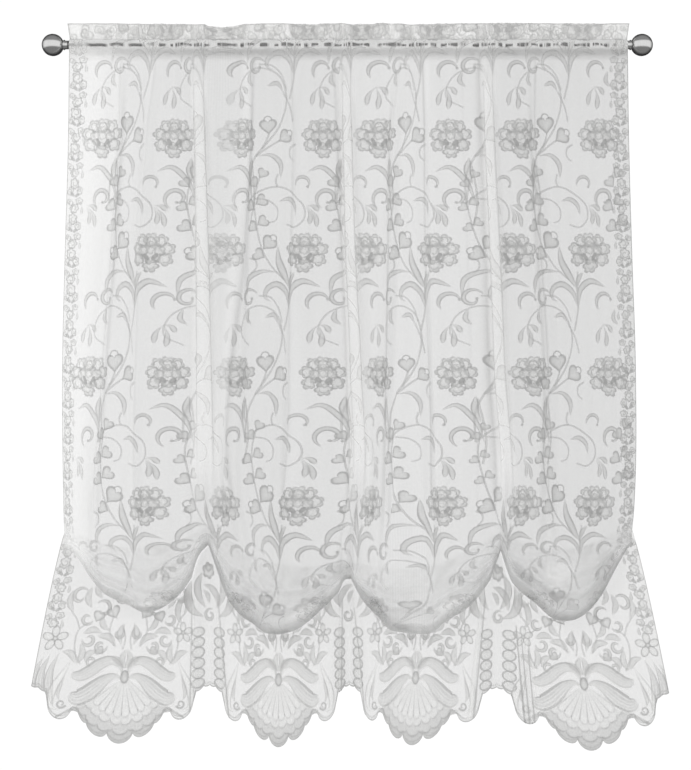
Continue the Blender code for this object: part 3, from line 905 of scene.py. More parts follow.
def make_net(material):
    columns = net_columns()
    rows = net_rows(columns)
    points = np.array([np.array(row.place).T for row in rows])
    flat = np.array([np.stack([row.across, row.down, 0.0 * row.down], axis=1) for row in rows])
    kept, edge = (np.array([getattr(row, name) for row in rows]) for name in ("kept", "edge"))
    skirt = np.array([[row.skirt] for row in rows])
    faces = grid_faces(len(rows), len(columns))
    across = flat[:, :, 0]
    x, z = points[:, :, 0], points[:, :, 2]
    steep = 1.0 - np.abs(square_to(np.gradient(points, axis=0), np.gradient(points, axis=1))[:, :, 1])
    low = np.where(skirt, 0.0, low_down(z))
    light = np.where(skirt, SKIRT_LIGHT, ground_light(across, z))
    # Painted shade on steep parts, turned into painted light low on the poufs
    light = light * (1.0 - STEEP_SHADE * (1.0 - 1.8 * low) * ease(steep * 1.15))
    cover = np.where(skirt, SKIRT_COVER, NET_COVER)
    cover = cover + (PLEAT_COVER - cover) * np.where(skirt, 0.0, pleat_share(across, z))
    cover = cover + (CREASE_COVER - cover) * np.where(skirt, 0.0, crease_marks(across, z)[0])
    cover = cover + np.clip(STEEP_COVER - cover, 0.0, 1.0) * ease(steep * 1.1)
    patch_light, patch_cover = patch_marks(x, z)
    # Painted light and shade of the patches low on the poufs, and painted shade along the poufs' lower
    # edges
    light = light + low * patch_light - EDGE_SHADE * edge
    cover = np.maximum(cover, patch_cover * low)
    cover = cover + np.clip(EDGE_COVER - cover, 0.0, 1.0) * edge
    light, cover = pocket_marks(points, light, cover)
    slit, broken = rod_gaps(points)
    marks = {"light": light, "cover": cover * kept, "slit": slit, "gap": broken}
    marks = {key: values.ravel() for key, values in marks.items()}
    return make_mesh("lace_net", points.reshape(-1, 3), faces, material, flat=flat.reshape(-1, 3), **marks)


# Woven figures. They gather in lists of flat places, and are carried onto the cloth together.
class Figures:
    """Thin figures drawn on the flat cloth: places across and down, how light each point is, and faces."""

    def __init__(self):
        self.places = []
        self.tones = []
        self.lifts = []
        self.faces = []

    def add(self, places, tones, faces, lift):
        first = len(self.places)
        self.places += [tuple(p) for p in places]
        self.tones += list(tones)
        self.lifts += [lift] * len(places)
        self.faces += [tuple(first + i for i in face) for face in faces]


# Cross sections of figures: shares of the half width from one side to the other, and how light each is
Section = namedtuple("Section", "sides tones")
LEAF = Section(
    (-1.0, -0.72, -0.58, -0.12, 0.0, 0.12, 0.58, 0.74, 1.0),
    (-0.06, -0.04, 0.70, 0.98, 0.50, 0.88, 0.62, -0.12, -0.14),
)
BLADE = Section((-1.0, -0.62, -0.40, 0.30, 0.52, 1.0), (-0.10, -0.04, 0.82, 0.74, -0.08, -0.12))
CORD = Section((-1.0, 0.0, 1.0), (0.30, 0.0, 0.30))
STALK = Section((-1.0, -0.62, -0.25, 0.25, 0.62, 1.0), (0.10, 0.08, 0.80, 0.80, 0.08, 0.10))
WING = Section(
    (-1.0, -0.93, -0.86, -0.79, -0.60, -0.52, -0.45, -0.24, -0.16, -0.08)
    + (0.02, 0.10, 0.18, 0.44, 0.52, 0.60, 0.82, 0.88, 0.94, 1.0),
    (0.9, 1.6, 1.6, 0.30, 0.55, 1.6, 0.60, 0.75, 1.6, 0.40)
    + (0.35, 1.6, 0.55, 0.45, 1.5, 0.15, 0.0, -0.05, 1.6, 1.6),
)
FEATHER = Section(
    (-1.0, -0.78, -0.66, -0.42, -0.30, -0.10, 0.0, 0.12, 0.36, 0.46, 0.70, 0.80, 1.0),
    (0.05, 0.05, 1.05, 1.00, 0.25, 1.00, 0.45, 1.00, 0.95, 0.20, 0.90, 0.0, 0.0),
)
FLAME_LINES = Section((-1.0, -0.75, -0.55, 0.0, 0.55, 0.75, 1.0), (0.55, 0.45, 1.3, 1.5, 1.3, 0.45, 0.55))


def along_curve(knots, count):
    """Evenly spread places on a smooth curve through knots."""
    knots = np.asarray(knots, float)
    if len(knots) == 2:
        shares = np.linspace(0.0, 1.0, count)[:, None]
        return knots[0] + (knots[1] - knots[0]) * shares
    run = np.concatenate([[0.0], np.cumsum(np.linalg.norm(np.diff(knots, axis=0), axis=1))])
    at = np.linspace(0.0, run[-1], count)
    return np.stack([flowing(run, knots[:, 0], at), flowing(run, knots[:, 1], at)], axis=1)


def add_band(figures, spine, half_widths, section, lift=0.0004):
    """A figure along a spine, with a cross section that widens and narrows."""
    spine = np.asarray(spine, float)
    ahead = np.gradient(spine, axis=0)
    ahead = ahead / np.maximum(np.linalg.norm(ahead, axis=1, keepdims=True), 1e-9)
    sideways = np.stack([-ahead[:, 1], ahead[:, 0]], axis=1)
    places, tones = [], []
    for middle, aside, half in zip(spine, sideways, half_widths):
        places += [middle + aside * half * side for side in section.sides]
        tones += section.tones
    figures.add(places, tones, grid_faces(len(spine), len(section.sides)), lift)


def leaf_widths(count, half, fullest=0.42, least=0.0004):
    """Half widths of a leaf that is fullest part of the way along."""
    t = np.linspace(0.0, 1.0, count)
    power = math.log(0.5) / math.log(fullest)
    return least + half * np.sin(math.pi * t**power) ** 0.9


def taper_widths(count, start, end):
    return start + (end - start) * np.linspace(0.0, 1.0, count)


def add_leaf(figures, knots, half, section=LEAF, fullest=0.42, count=14, lift=0.0004):
    add_band(figures, along_curve(knots, count), leaf_widths(count, half, fullest), section, lift)


def add_stem(figures, knots, half, end):
    count = 8 + 3 * len(knots)
    add_band(figures, along_curve(knots, count), taper_widths(count, half, end), STALK, 0.0003)


def add_cord(figures, spine, start, end, lift=0.0004):
    """A thin cord along places, from one half width to another."""
    add_band(figures, spine, taper_widths(len(spine), start, end), CORD, lift)


def add_scroll(figures, curve, half, lift=0.0004):
    """A curled leaf along places."""
    add_band(figures, curve, leaf_widths(len(curve), half, 0.45, 0.0008), BLADE, lift)


SHAPE_SHARES = (0.45, 0.70, 0.82, 1.0)
ROUND_SHARES = (0.70, 0.82, 1.0)


def add_shape(figures, rim, middle, tones, lift, shares=SHAPE_SHARES):
    """A filled closed shape: rings that follow its rim, from the middle outwards."""
    rim, middle = np.asarray(rim, float), np.asarray(middle, float)
    count = len(rim)
    places, shades = [middle], [tones[0]]
    for share, tone in zip(shares, tones[1:]):
        places += list(middle + (rim - middle) * share)
        shades += [tone] * count
    faces = [(0, 1 + i, 1 + (i + 1) % count) for i in range(count)]
    for ring in range(len(shares) - 1):
        first = 1 + ring * count
        for i in range(count):
            j = (i + 1) % count
            faces.append((first + i, first + count + i, first + count + j, first + j))
    figures.add(places, shades, faces, lift)


def turned_about(centre, x, y, degrees):
    """Places x ahead and y aside of a centre, turned with it."""
    cos_t, sin_t = cos_sin(degrees)
    return np.stack([centre[0] + x * cos_t - y * sin_t, centre[1] + x * sin_t + y * cos_t], axis=-1)


def round_angles(count):
    return np.linspace(0.0, 2.0 * math.pi, count, endpoint=False)


BLOOM = (1.15, 1.00, 0.80, 0.12, 0.02)
PALE_BLOOM = (1.20, 1.15, 1.05, 0.05, -0.05)
HEADING_BLOOM = (1.25, 1.20, 1.05, 0.15, 0.05)


def add_cloud(figures, centre, radius_x, radius_y, turned, lobes, tones, lift, depth):
    """A filled shape with a bumpy rim, like the outline of a full bloom's petal. turned is in degrees."""
    angles = round_angles((6 if lobes < 6 else 4) * lobes)
    bumps = (1.0 - depth) + depth * np.abs(np.sin(0.5 * lobes * angles)) ** 0.6
    rim = turned_about(centre, radius_x * bumps * np.cos(angles), radius_y * bumps * np.sin(angles), turned)
    add_shape(figures, rim, centre, tones, lift)


def add_round(figures, centre, radius_x, radius_y, turned, tones, lift, count=14):
    """An oval with a darker rim."""
    angles = round_angles(count)
    rim = turned_about(centre, radius_x * np.cos(angles), radius_y * np.sin(angles), turned)
    add_shape(figures, rim, centre, (*tones, tones[2]), lift, ROUND_SHARES)


def spiral(centre, start_radius, end_radius, start_angle, sweep, count):
    """Places on a curl. Angles are in degrees, 0 to the right and 90 downwards."""
    t = np.linspace(0.0, 1.0, count)
    radius = start_radius + (end_radius - start_radius) * t
    angle = np.radians(start_angle + sweep * t)
    return np.stack([centre[0] + radius * np.cos(angle), centre[1] + radius * np.sin(angle)], axis=1)


# The flower: petals with scalloped rims, from the outer wreath to the rolled middle. angle is in degrees,
# 90 downwards, and the sizes are in millimetres.
Petal = namedtuple("Petal", "angle away along aside lobes shade lift")
FLOWER = table(
    Petal,
    (90, 2.0, 27.0, 27.0, 7, 0.10, 0.30),
    (-127, 33.0, 15.0, 14.0, 5, 0.10, 0.35),
    (-53, 33.0, 15.0, 14.0, 5, 0.05, 0.42),
    (-12, 33.5, 16.0, 14.5, 5, -0.05, 0.35),
    (34, 34.0, 16.0, 15.0, 5, -0.15, 0.49),
    (146, 34.0, 16.0, 15.0, 5, 0.0, 0.49),
    (192, 33.5, 16.0, 14.5, 5, 0.05, 0.42),
    (90, 34.0, 16.0, 19.0, 6, -0.10, 0.56),
    (90, 21.0, 9.0, 12.0, 4, 0.15, 0.80),
    (-90, 3.0, 10.0, 9.0, 4, 0.20, 0.98),
    (-6, 18.0, 12.0, 11.0, 4, 0.20, 0.90),
    (186, 18.0, 12.0, 11.0, 4, 0.25, 0.95),
    (-90, 27.0, 17.5, 18.0, 6, 0.25, 1.05),
    (-90, 23.0, 11.5, 12.0, 5, 0.35, 1.25),
    (-90, 20.0, 6.0, 6.5, 4, 0.35, 1.45),
)
FLOWER_SPOTS = ((-9, 11, 58), (10, 12, -54))
SPOT_TONES = (0.0, -0.10, -0.15)
FLOWER_SQUAT = 0.94
ARCS_FROM = 26.0  # petals further out than this have a thin arc


def add_flower(figures, centre, mirror, wide):
    """A full round bloom. wide stretches it along the rod's direction."""

    def placed(x, y):
        return (centre[0] + mirror * wide * x * MM, centre[1] + y * MM)

    for petal in FLOWER:
        cos_a, sin_a = cos_sin(petal.angle)
        spot = placed(petal.away * cos_a, petal.away * FLOWER_SQUAT * sin_a)
        half_x = wide * math.hypot(petal.along * cos_a, petal.aside * sin_a)
        half_y = math.hypot(petal.along * sin_a, petal.aside * cos_a)
        tones = [tone + petal.shade for tone in BLOOM]
        size = (half_x * MM, half_y * MM)
        add_cloud(figures, spot, *size, mirror * 24.0 * sin_a, petal.lobes, tones, petal.lift * MM, 0.28)
        if petal.away > ARCS_FROM:
            turned = petal.angle if mirror > 0 else 180.0 - petal.angle
            arc = spiral(spot, 0.50 * petal.along * MM, 0.42 * petal.along * MM, turned - 85.0, 170.0, 9)
            add_cord(figures, arc, 0.0011, 0.0008, (petal.lift + 0.2) * MM)
    for x, y, turned in FLOWER_SPOTS:
        add_round(figures, placed(x, y), 9.0 * MM * wide, 4.2 * MM, mirror * turned, SPOT_TONES, 0.0014)


HEART = (0.92, 0.82, 0.70, 0.0, -0.06)
LARGE_BUD = 0.030


def add_heart(figures, tip, angle, size):
    """A heart that opens along angle, in degrees, from its tip."""
    t = round_angles(22)
    aside = 16.0 * np.sin(t) ** 3
    ahead = 17.0 + 13.0 * np.cos(t) - 5.0 * np.cos(2.0 * t) - 2.0 * np.cos(3.0 * t) - np.cos(4.0 * t)
    scale = size / 29.0
    rim = turned_about(tip, scale * ahead, scale * aside, angle)
    add_shape(figures, rim, turned_about(tip, scale * 18.0, 0.0, angle), HEART, 0.0006)


def add_bud(figures, tip, angle, size):
    """A heart, and over a large one a thin arc that closes its notch."""
    add_heart(figures, tip, angle, size)
    if size > LARGE_BUD:
        top = turned_about(tip, size * 0.95, 0.0, angle)
        add_cord(figures, spiral(top, size * 0.24, size * 0.24, angle - 110.0, 220.0, 10), 0.0014, 0.0014)


# What grows around a flower, in millimetres from its centre, x to the right and y downwards
Leaf = namedtuple("Leaf", "half fullest knots")
Stem = namedtuple("Stem", "half end knots")
Bud = namedtuple("Bud", "x y angle size")

A_LEAVES = table(
    Leaf,
    (6.5, 0.55, ((40, 104), (30, 78), (34, 46))),
    (5.5, 0.60, ((44, 150), (26, 96), (-6, 66), (-28, 76))),
    (5.5, 0.62, ((-140, 42), (-112, 40), (-94, 58), (-92, 90))),
    (4.5, 0.50, ((-156, -112), (-166, -124), (-162, -146))),
    (5.0, 0.50, ((-50, 172), (-56, 150), (-72, 138), (-92, 142))),
    (5.0, 0.70, ((-8, -112), (4, -108), (12, -94))),
    (5.5, 0.72, ((-8, -112), (-2, -88), (-4, -62))),
    (5.0, 0.70, ((-8, -112), (-20, -94), (-24, -70))),
)
A_STEMS = table(
    Stem,
    (1.4, 1.4, ((36, 52), (44, 104), (46, 150), (38, 196))),
    (1.5, 0.9, ((-60, 16), (-74, 26), (-74, 44), (-64, 54))),
    (1.4, 1.4, ((-118, -6), (-126, 16), (-142, 42))),
    (1.4, 1.4, ((-98, 8), (-118, 22), (-142, 42))),
    (
        1.5,
        1.0,
        ((-130, 26), (-96, -30), (-84, -92), (-104, -140), (-142, -154))
        + ((-180, -132), (-190, -88), (-160, -66)),
    ),
    (1.4, 1.2, ((-142, 42), (-156, 76), (-160, 148))),
    (
        1.4,
        1.2,
        ((-160, 148), (-132, 120), (-98, 110), (-62, 126), (-34, 156), (-34, 182), (-52, 200), (-76, 194)),
    ),
    (1.2, 1.0, ((-142, 136), (-112, 142), (-96, 160), (-100, 186), (-112, 190))),
    (1.3, 1.3, ((-98, 110), (-102, 98), (-98, 82))),
)
A_BUDS = table(
    Bud,
    (-118, -4, -96, 38),
    (-100, 10, -34, 32),
)
A_CURLS = (
    ((-38, 104), 19, 12, 170, 220, 3.0),
    ((8, 136), 25, 9, 120, 330, 4.2),
)

B_LEAVES = table(
    Leaf,
    (8.5, 0.48, ((-34, 82), (-52, 50), (-66, 22), (-70, -12))),
    (5.0, 0.55, ((-34, 84), (-30, 62), (-18, 46))),
    (6.5, 0.50, ((-34, 124), (-46, 88), (-70, 72), (-92, 84), (-94, 104), (-82, 110))),
    (7.0, 0.50, ((-32, 118), (-26, 84), (-4, 66), (32, 78))),
    (5.5, 0.62, ((-66, 46), (-104, 44), (-134, 60), (-140, 96))),
    (4.5, 0.60, ((-60, 160), (-74, 140), (-92, 146))),
    (5.0, 0.70, ((2, -102), (16, -101), (28, -90))),
    (5.0, 0.72, ((3, -100), (20, -80), (24, -54))),
    (5.0, 0.70, ((2, -98), (10, -80), (8, -60))),
)
B_STEMS = table(
    Stem,
    (1.4, 1.4, ((-30, 44), (-34, 84), (-34, 124), (-46, 176))),
    (1.5, 0.9, ((68, 14), (80, 20), (82, 36), (72, 48))),
    (1.3, 1.1, ((-52, 62), (-82, 34), (-104, -2), (-120, -60), (-126, -124), (-116, -170))),
    (1.3, 1.1, ((-60, 160), (-46, 190), (-38, 226))),
    (1.2, 1.0, ((-110, 98), (-86, 100), (-64, 122), (-52, 156))),
)
B_BUDS = table(
    Bud,
    (-98, 14, -152, 29),
    (-104, -4, -50, 36),
    (-117, -46, -144, 26),
    (-119, -58, -36, 26),
    (-124, -92, -146, 25),
    (-125, -104, -34, 25),
    (-122, -142, -128, 24),
    (-118, -162, -60, 24),
)
B_CURLS = (
    ((30, 112), 24, 16, 140, 200, 4.0),
    ((68, 104), 22, 8, 330, -330, 3.6),
)

FLOWER_PITCH = 0.205
ROWS_DOWN = (-0.075, 0.185, 0.439, 0.713, 0.998, 1.275, 1.545)
A_START = 0.090
B_START = 0.055
FLOWERS_ACROSS = 9
STEM_SCALE = 1.3
BORDER_WIDTH = 0.034


def inside(*xs):
    """Whether a figure lies on the cloth between the side borders."""
    return min(xs) > BORDER_WIDTH and max(xs) < FLAT_WIDTH - BORDER_WIDTH


def widened(place, reach, least, most):
    """How much wider a figure is drawn where the flat cloth hangs narrower than it is."""
    across, down = place
    z = max(STITCH_HEIGHT - down, -1.0) * np.ones(2)
    ends = body_x(np.clip([across - reach, across + reach], 0.0, FLAT_WIDTH), z)
    hung = max(ends[1] - ends[0], 1e-9)
    return min(most, max(least, 0.98 / (hung / (2.0 * reach))))


def grow_cell(figures, flowers, centre, leaves, stems, buds, curls, flower_mirror):
    wide = widened(centre, 0.075, 0.86, 1.12)
    wide_flower = widened(centre, 0.045, 0.80, 1.30)

    def placed(knots):
        """Knots round the centre, or none where they reach into the side borders."""
        knots = [(centre[0] + wide * x * MM, centre[1] + y * MM) for x, y in knots]
        return knots if inside(*(x for x, _ in knots)) else []

    for leaf in leaves:
        if knots := placed(leaf.knots):
            add_leaf(figures, knots, leaf.half * MM, fullest=leaf.fullest)
    for stem in stems:
        if knots := placed(stem.knots):
            add_stem(figures, knots, STEM_SCALE * stem.half * MM, STEM_SCALE * stem.end * MM)
    for bud in buds:
        for tip in placed([(bud.x, bud.y)]):
            add_bud(figures, tip, bud.angle, bud.size * widened(tip, 0.018, 0.70, 1.15) * MM)
    for (x, y), start, end, angle, sweep, half in curls:
        middle = (centre[0] + wide * x * MM, centre[1] + y * MM)
        if inside(middle[0] - start * MM, middle[0] + start * MM):
            curve = spiral(middle, start * MM, end * MM, angle, sweep, 22)
            add_scroll(figures, curve, half * MM)
            add_round(figures, curve[-1], 3.2 * MM, 3.2 * MM, 0.0, (0.3, 0.3, 0.1), 0.0006, 8)
    if inside(centre[0] - 0.030, centre[0] + 0.030):
        add_flower(flowers, centre, flower_mirror, wide_flower)


def make_garden():
    """The leaves, buds and scrolls between heading and poufs, and the flowers."""
    figures, flowers = Figures(), Figures()
    a_cell = (A_START, A_LEAVES, A_STEMS, A_BUDS, A_CURLS, 1.0)
    b_cell = (B_START, B_LEAVES, B_STEMS, B_BUDS, B_CURLS, -1.0)
    for i, down in enumerate(ROWS_DOWN):
        start, *cell = a_cell if i % 2 == 1 else b_cell
        for j in range(FLOWERS_ACROSS):
            grow_cell(figures, flowers, (start + FLOWER_PITCH * j, down), *cell)
    return figures, flowers


BORDER_PITCH = 0.0785
BORDER_MIDDLE = 0.0215
HEADING_ROWS = (-0.045, -0.060)
HEADING_COUNT = 46
CORD_INSET = 0.0012  # the half width of the cord along each side edge


def add_small_flower(figures, centre, radius):
    for angle in range(20, 380, 72):
        middle = turned_about(centre, radius * 0.60, 0.0, angle)
        add_round(figures, middle, radius * 0.52, radius * 0.34, angle, (1.15, 1.05, 0.05), 0.0004, 10)
    add_round(figures, centre, radius * 0.2, radius * 0.2, 0.0, (0.9, 0.8, 0.05), 0.0007, 7)


# One cluster of the side borders, in millimetres from its middle, x away from the cloth's edge, y downwards
BorderPetal = namedtuple("BorderPetal", "x y half_x half_y lobes lift")
BORDER_BLOOM = table(
    BorderPetal,
    (13, -14, 9.0, 11.0, 5, 0.4),
    (-12, -13, 7.5, 10.0, 4, 0.5),
    (-1, -30, 15.0, 13.0, 6, 0.8),
    (13, 9, 8.0, 10.5, 5, 0.4),
    (-12, 12, 7.0, 10.0, 4, 0.4),
    (0, 25, 13.5, 11.0, 6, 0.7),
)
BORDER_SPOTS = ((-6, -6, 40), (6, -4, -40))


def add_border_bloom(figures, middle, inward, downward, k):
    """A cluster of pale petals with dark outlines, and a drop beside it."""
    middle = (middle[0] + inward * 1.5 * MM * math.sin(1.9 * k), middle[1])

    def placed(x, y):
        return (middle[0] + inward * x * MM, middle[1] + downward * y * MM)

    for i, petal in enumerate(BORDER_BLOOM):
        size = 1.0 + 0.08 * math.sin(2.7 * i + 1.3 * k)
        half_x, half_y = petal.half_x * size * MM, petal.half_y * size * MM
        spot = placed(petal.x, petal.y)
        add_cloud(figures, spot, half_x, half_y, 31.0 * i, petal.lobes, PALE_BLOOM, petal.lift * MM, 0.26)
        curl = spiral(spot, 0.55 * half_x, 0.20 * half_x, 70.0 * i + 40.0 * k, 300.0, 12)
        add_cord(figures, curl, 0.0012, 0.0009, (petal.lift + 0.2) * MM)
    for x, y, turned in BORDER_SPOTS:
        turned = inward * downward * turned
        add_round(figures, placed(x, y), 6.5 * MM, 3.6 * MM, turned, (0.10, 0.05, -0.05), 0.0013, 10)
    add_leaf(figures, [placed(19, 18), placed(21, 28), placed(20, 38)], 3.2 * MM, fullest=0.65, count=8)


def add_side_borders(figures, count, start, downward, run):
    """Clusters down both side edges, and a cord along each edge itself."""
    for side, inward in ((0.0, 1.0), (FLAT_WIDTH, -1.0)):
        for k in range(count):
            middle = (side + inward * BORDER_MIDDLE, start + BORDER_PITCH * k)
            add_border_bloom(figures, middle, inward, downward, k)
        edge = side + inward * CORD_INSET
        add_cord(figures, np.stack([edge + 0.0 * run, run], axis=1), CORD_INSET, CORD_INSET)


def make_borders():
    """Flowered borders down both side edges above the poufs, and the close pattern of the heading."""
    figures = Figures()
    add_side_borders(figures, 15, 0.004, 1.0, np.linspace(-0.15, 1.13, 200))
    random = np.random.default_rng(11)
    for row, down in enumerate(HEADING_ROWS):
        for k in range(HEADING_COUNT):
            across = (k + 0.5 * row + random.uniform(0.10, 0.60)) * FLAT_WIDTH / HEADING_COUNT
            reach = random.uniform(0.010, 0.0185)
            spot = (across, down + random.uniform(-0.005, 0.005))
            turned = random.uniform(0.0, 180.0)
            add_cloud(figures, spot, reach, 0.66 * reach, turned, 4, HEADING_BLOOM, 0.0005, 0.30)
            curl = spiral(spot, 0.40 * reach, 0.12 * reach, turned, 400.0, 14)
            add_cord(figures, curl, 0.0012, 0.0009, 0.0009)
    across = np.linspace(0.001, FLAT_WIDTH - 0.001, 640)
    add_cord(figures, np.stack([across, 0.0 * across - 0.0728], axis=1), 0.0011, 0.0011)
    return figures


# The skirt's figures. x runs along the flat hem from a panel's middle, and y is the height above its lowest
# line.
KNOT_HEIGHT = 0.148
FAN_START = 0.012
FAN_EDGE = 0.0030
FAN_HALF_ANGLE = 57.0
FAN_RIBS = 9
FAN_COLUMNS = 145
FAN_LINES = 71
FAN_LONGEST = 0.155
Tier = namedtuple("Tier", "share depth scales offset tone")
TIERS = table(
    Tier,
    (0.84, 0.075, 7.0, 0.0, 0.62),
    (0.70, 0.070, 8.0, 0.0, 1.05),
    (0.585, 0.060, 9.0, 0.5, 1.25),
)
RIM_HALF = 0.013


def skirt_knots(middle, side, knots):
    return [(middle + side * x * MM, y * MM) for x, y in knots]


def add_feathers(figures, middle, side, leaves, count=14, lift=0.0004):
    for leaf in leaves:
        knots = skirt_knots(middle, side, leaf.knots)
        add_leaf(figures, knots, leaf.half * MM, FEATHER, leaf.fullest, count, lift)


def fan_reach(middle, angle):
    """Distance from a fan's knot to the hem along a ray. angle is 0 straight down."""
    reaches = np.linspace(0.02, 0.24, 221)
    x = middle + np.outer(np.sin(angle), reaches)
    y = KNOT_HEIGHT - np.outer(np.cos(angle), reaches)
    outside = y < hem_rise(np.clip(x, 0.0, FLAT_WIDTH)) + FAN_EDGE
    first = np.where(outside.any(axis=1), outside.argmax(axis=1), reaches.size - 1)
    return reaches[first]


def fan_tone(turn, share):
    """How light a place of the fan is: ribs from its knot, tiers of scales, and darker lobes."""
    tone = 0.40 - 0.30 * ease((share - 0.88) / 0.12)
    for tier in TIERS:
        place = ((turn + 1.0) * 0.5 * tier.scales + tier.offset) % 1.0
        aside = np.abs(2.0 * place - 1.0)
        rim = tier.share - tier.depth * (1.0 - np.sqrt(np.clip(1.0 - aside**2, 0.0, 1.0)))
        tone = np.where(share < rim, tier.tone, tone)
        tone = tone - 0.75 * np.exp(-(((share - rim) / RIM_HALF) ** 2))
    place = ((turn + 1.0) * 0.5 * FAN_RIBS + 0.5) % 1.0
    aside = 1.0 - np.abs(2.0 * place - 1.0)
    line = np.exp(-((aside / 0.20) ** 2)) * (share < 0.55) * ease((share - 0.02) / 0.1)
    middle = np.exp(-(((aside - 1.0) / 0.20) ** 2)) * ease((share - 0.10) / 0.10) * (share < 0.46)
    return tone - 1.05 * line - 0.35 * middle


def add_fan_field(figures, middle):
    """The fan's ground, woven closer than the net."""
    turns, shares = np.linspace(-1.0, 1.0, FAN_COLUMNS), np.linspace(0.0, 1.0, FAN_LINES)
    angles = np.radians(FAN_HALF_ANGLE * turns)
    reach = fan_reach(middle, angles)
    longest = min(reach.max(), FAN_LONGEST)
    places, tones = [], []
    for share in shares:
        along = FAN_START + (reach - FAN_START) * share
        places += list(zip(middle + along * np.sin(angles), KNOT_HEIGHT - along * np.cos(angles)))
        even = 0.35 * share + 0.65 * along / longest
        tones += list(fan_tone(turns, even))
    figures.add(places, tones, grid_faces(len(shares), len(turns)), 0.0003)


Wing = namedtuple("Wing", "half lift knots")
WINGS = table(
    Wing,
    (16.0, 1.0, ((5, 150), (13, 173), (32, 184), (56, 176), (77, 160), (96, 150), (114, 152))),
    (21.5, 1.4, ((8, 144), (22, 150), (41, 142), (60, 125), (79, 109), (97, 101), (113, 107))),
)


def wing_widths(count, half):
    """Half widths of a wing: slim at the knot, full from the middle on, and rounded at its tip."""
    t = np.linspace(0.0, 1.0, count)
    grown = np.sin(0.5 * math.pi * np.clip((t + 0.05) / 0.70, 0.0, 1.0)) ** 1.3
    tip = np.sqrt(1.0 - 0.90 * (np.clip(t - 0.74, 0.0, 1.0) / 0.26) ** 2.0)
    return half * grown * tip + 0.0003


SKIRT_LEAVES = table(
    Leaf,
    (6.5, 0.50, ((0, 166), (-9, 186), (-2, 208))),
    (6.5, 0.50, ((4, 166), (18, 184), (36, 194))),
    (7.5, 0.55, ((26, 214), (44, 236), (70, 238))),
    (6.5, 0.55, ((14, 218), (20, 242), (12, 266))),
    (6.5, 0.55, ((44, 250), (60, 262), (66, 284))),
    (7.0, 0.55, ((60, 244), (80, 252), (102, 244))),
    (7.0, 0.50, ((90, 180), (84, 198), (68, 206))),
    (7.0, 0.50, ((108, 176), (98, 198), (104, 222))),
    (7.0, 0.50, ((110, 178), (124, 200), (142, 204))),
    (7.0, 0.50, ((92, 300), (104, 322), (98, 346))),
    (7.0, 0.50, ((132, 290), (144, 312), (140, 340))),
    (6.0, 0.50, ((70, 322), (84, 338), (82, 362))),
)
SKIRT_STEMS = table(
    Stem,
    (1.7, 1.4, ((100, 176), (112, 196), (118, 226), (112, 254), (92, 268))),
    (1.7, 1.4, ((112, 254), (122, 276), (136, 292))),
    (1.7, 1.4, ((30, 216), (44, 250), (40, 286), (58, 312))),
    (1.7, 1.4, ((10, 208), (6, 232), (14, 262))),
)
SKIRT_BUDS = table(Bud, (30, 276, 60, 30), (78, 268, 110, 26), (52, 198, 40, 20))
SKIRT_CURLS = (
    ((60, 216), 15, 5, 180, 330, 3.4),
    ((88, 230), 15, 6, 0, -320, 3.4),
    ((98, 276), 14, 6, 200, 300, 3.0),
    ((22, 244), 13, 5, 120, 300, 3.0),
    ((64, 298), 20, 8, 40, 300, 3.6),
    ((122, 326), 20, 8, 140, -300, 3.6),
    ((22, 330), 20, 8, 220, 300, 3.4),
    ((76, 182), 11, 4, 260, 330, 2.6),
)

# At a gather: the pale flame with its curl, and the tall column of ovals, from the gather's line
OVAL_BESIDE = 28.0
OVAL_TONES = (1.20, 1.10, 0.08)
OVALS = ((132, 12.0), (154, 12.5), (177, 13.0), (201, 13.0), (224, 12.5), (247, 11.5))
FLAME = ((120, 184), (132, 156), (146, 126), (151, 98), (146, 80), (133, 75))
FLAME_INNER = ((128, 148), (134, 130), (137, 110), (132, 96))
SIDE_LEAVES = table(
    Leaf,
    (9.0, 0.60, ((148, 200), (160, 160), (158, 122), (146, 86))),
    (9.0, 0.60, ((166, 196), (178, 160), (178, 130), (166, 102))),
    (7.0, 0.60, ((180, 190), (190, 164), (194, 138), (188, 114))),
)
# Long feathered leaves that reach out of the folds under the gathers
FEATHERS = table(
    Leaf,
    (11.0, 0.55, ((180, 280), (152, 296), (140, 330), (148, 362))),
    (9.0, 0.55, ((186, 300), (170, 322), (164, 352), (176, 380))),
    (7.0, 0.55, ((128, 262), (116, 286), (120, 312), (134, 330))),
)
OPENING_LEAVES = table(
    Leaf,
    (8.0, 0.50, ((-14, 352), (4, 346), (22, 326), (26, 300))),
    (5.5, 0.50, ((-16, 340), (-4, 328), (0, 310))),
)
# Thin lines of painted highlight and shade along the edges of narrow pleats in the skirt: which gather, how
# far beside it at the hem and at the top, from which height to which, how wide and how light
PaintedPleatLine = namedtuple("PaintedPleatLine", "gather low high rise_low rise_high half tone")
PAINTED_PLEAT_LINES = table(
    PaintedPleatLine,
    (1, -42.0, -40.0, 60, 320, 2.4, 1.50),
    (1, -47.0, -45.0, 60, 300, 2.0, 0.10),
    (1, 58.0, 24.0, 40, 330, 2.2, -0.05),
    (1, 52.0, 18.0, 40, 330, 2.4, 1.50),
    (2, -27.0, -18.0, 70, 320, 1.8, 0.0),
    (2, -33.0, -24.0, 70, 320, 2.4, 1.50),
    (2, 47.0, 12.0, 60, 330, 2.4, 1.50),
    (2, 52.0, 18.0, 60, 300, 1.8, 0.05),
    (3, -57.0, -35.0, 60, 330, 3.0, 0.20),
    (3, -66.0, -44.0, 60, 330, 6.0, 1.40),
    (3, 60.0, 44.0, 40, 270, 2.6, -0.10),
    (3, 65.0, 50.0, 40, 250, 2.0, 1.20),
    (3, 70.0, 56.0, 36, 240, 2.4, -0.05),
    (3, 75.0, 62.0, 36, 230, 2.0, 1.10),
    (3, 80.0, 70.0, 36, 220, 2.6, 0.0),
    (3, 86.0, 78.0, 36, 200, 2.2, 1.30),
)


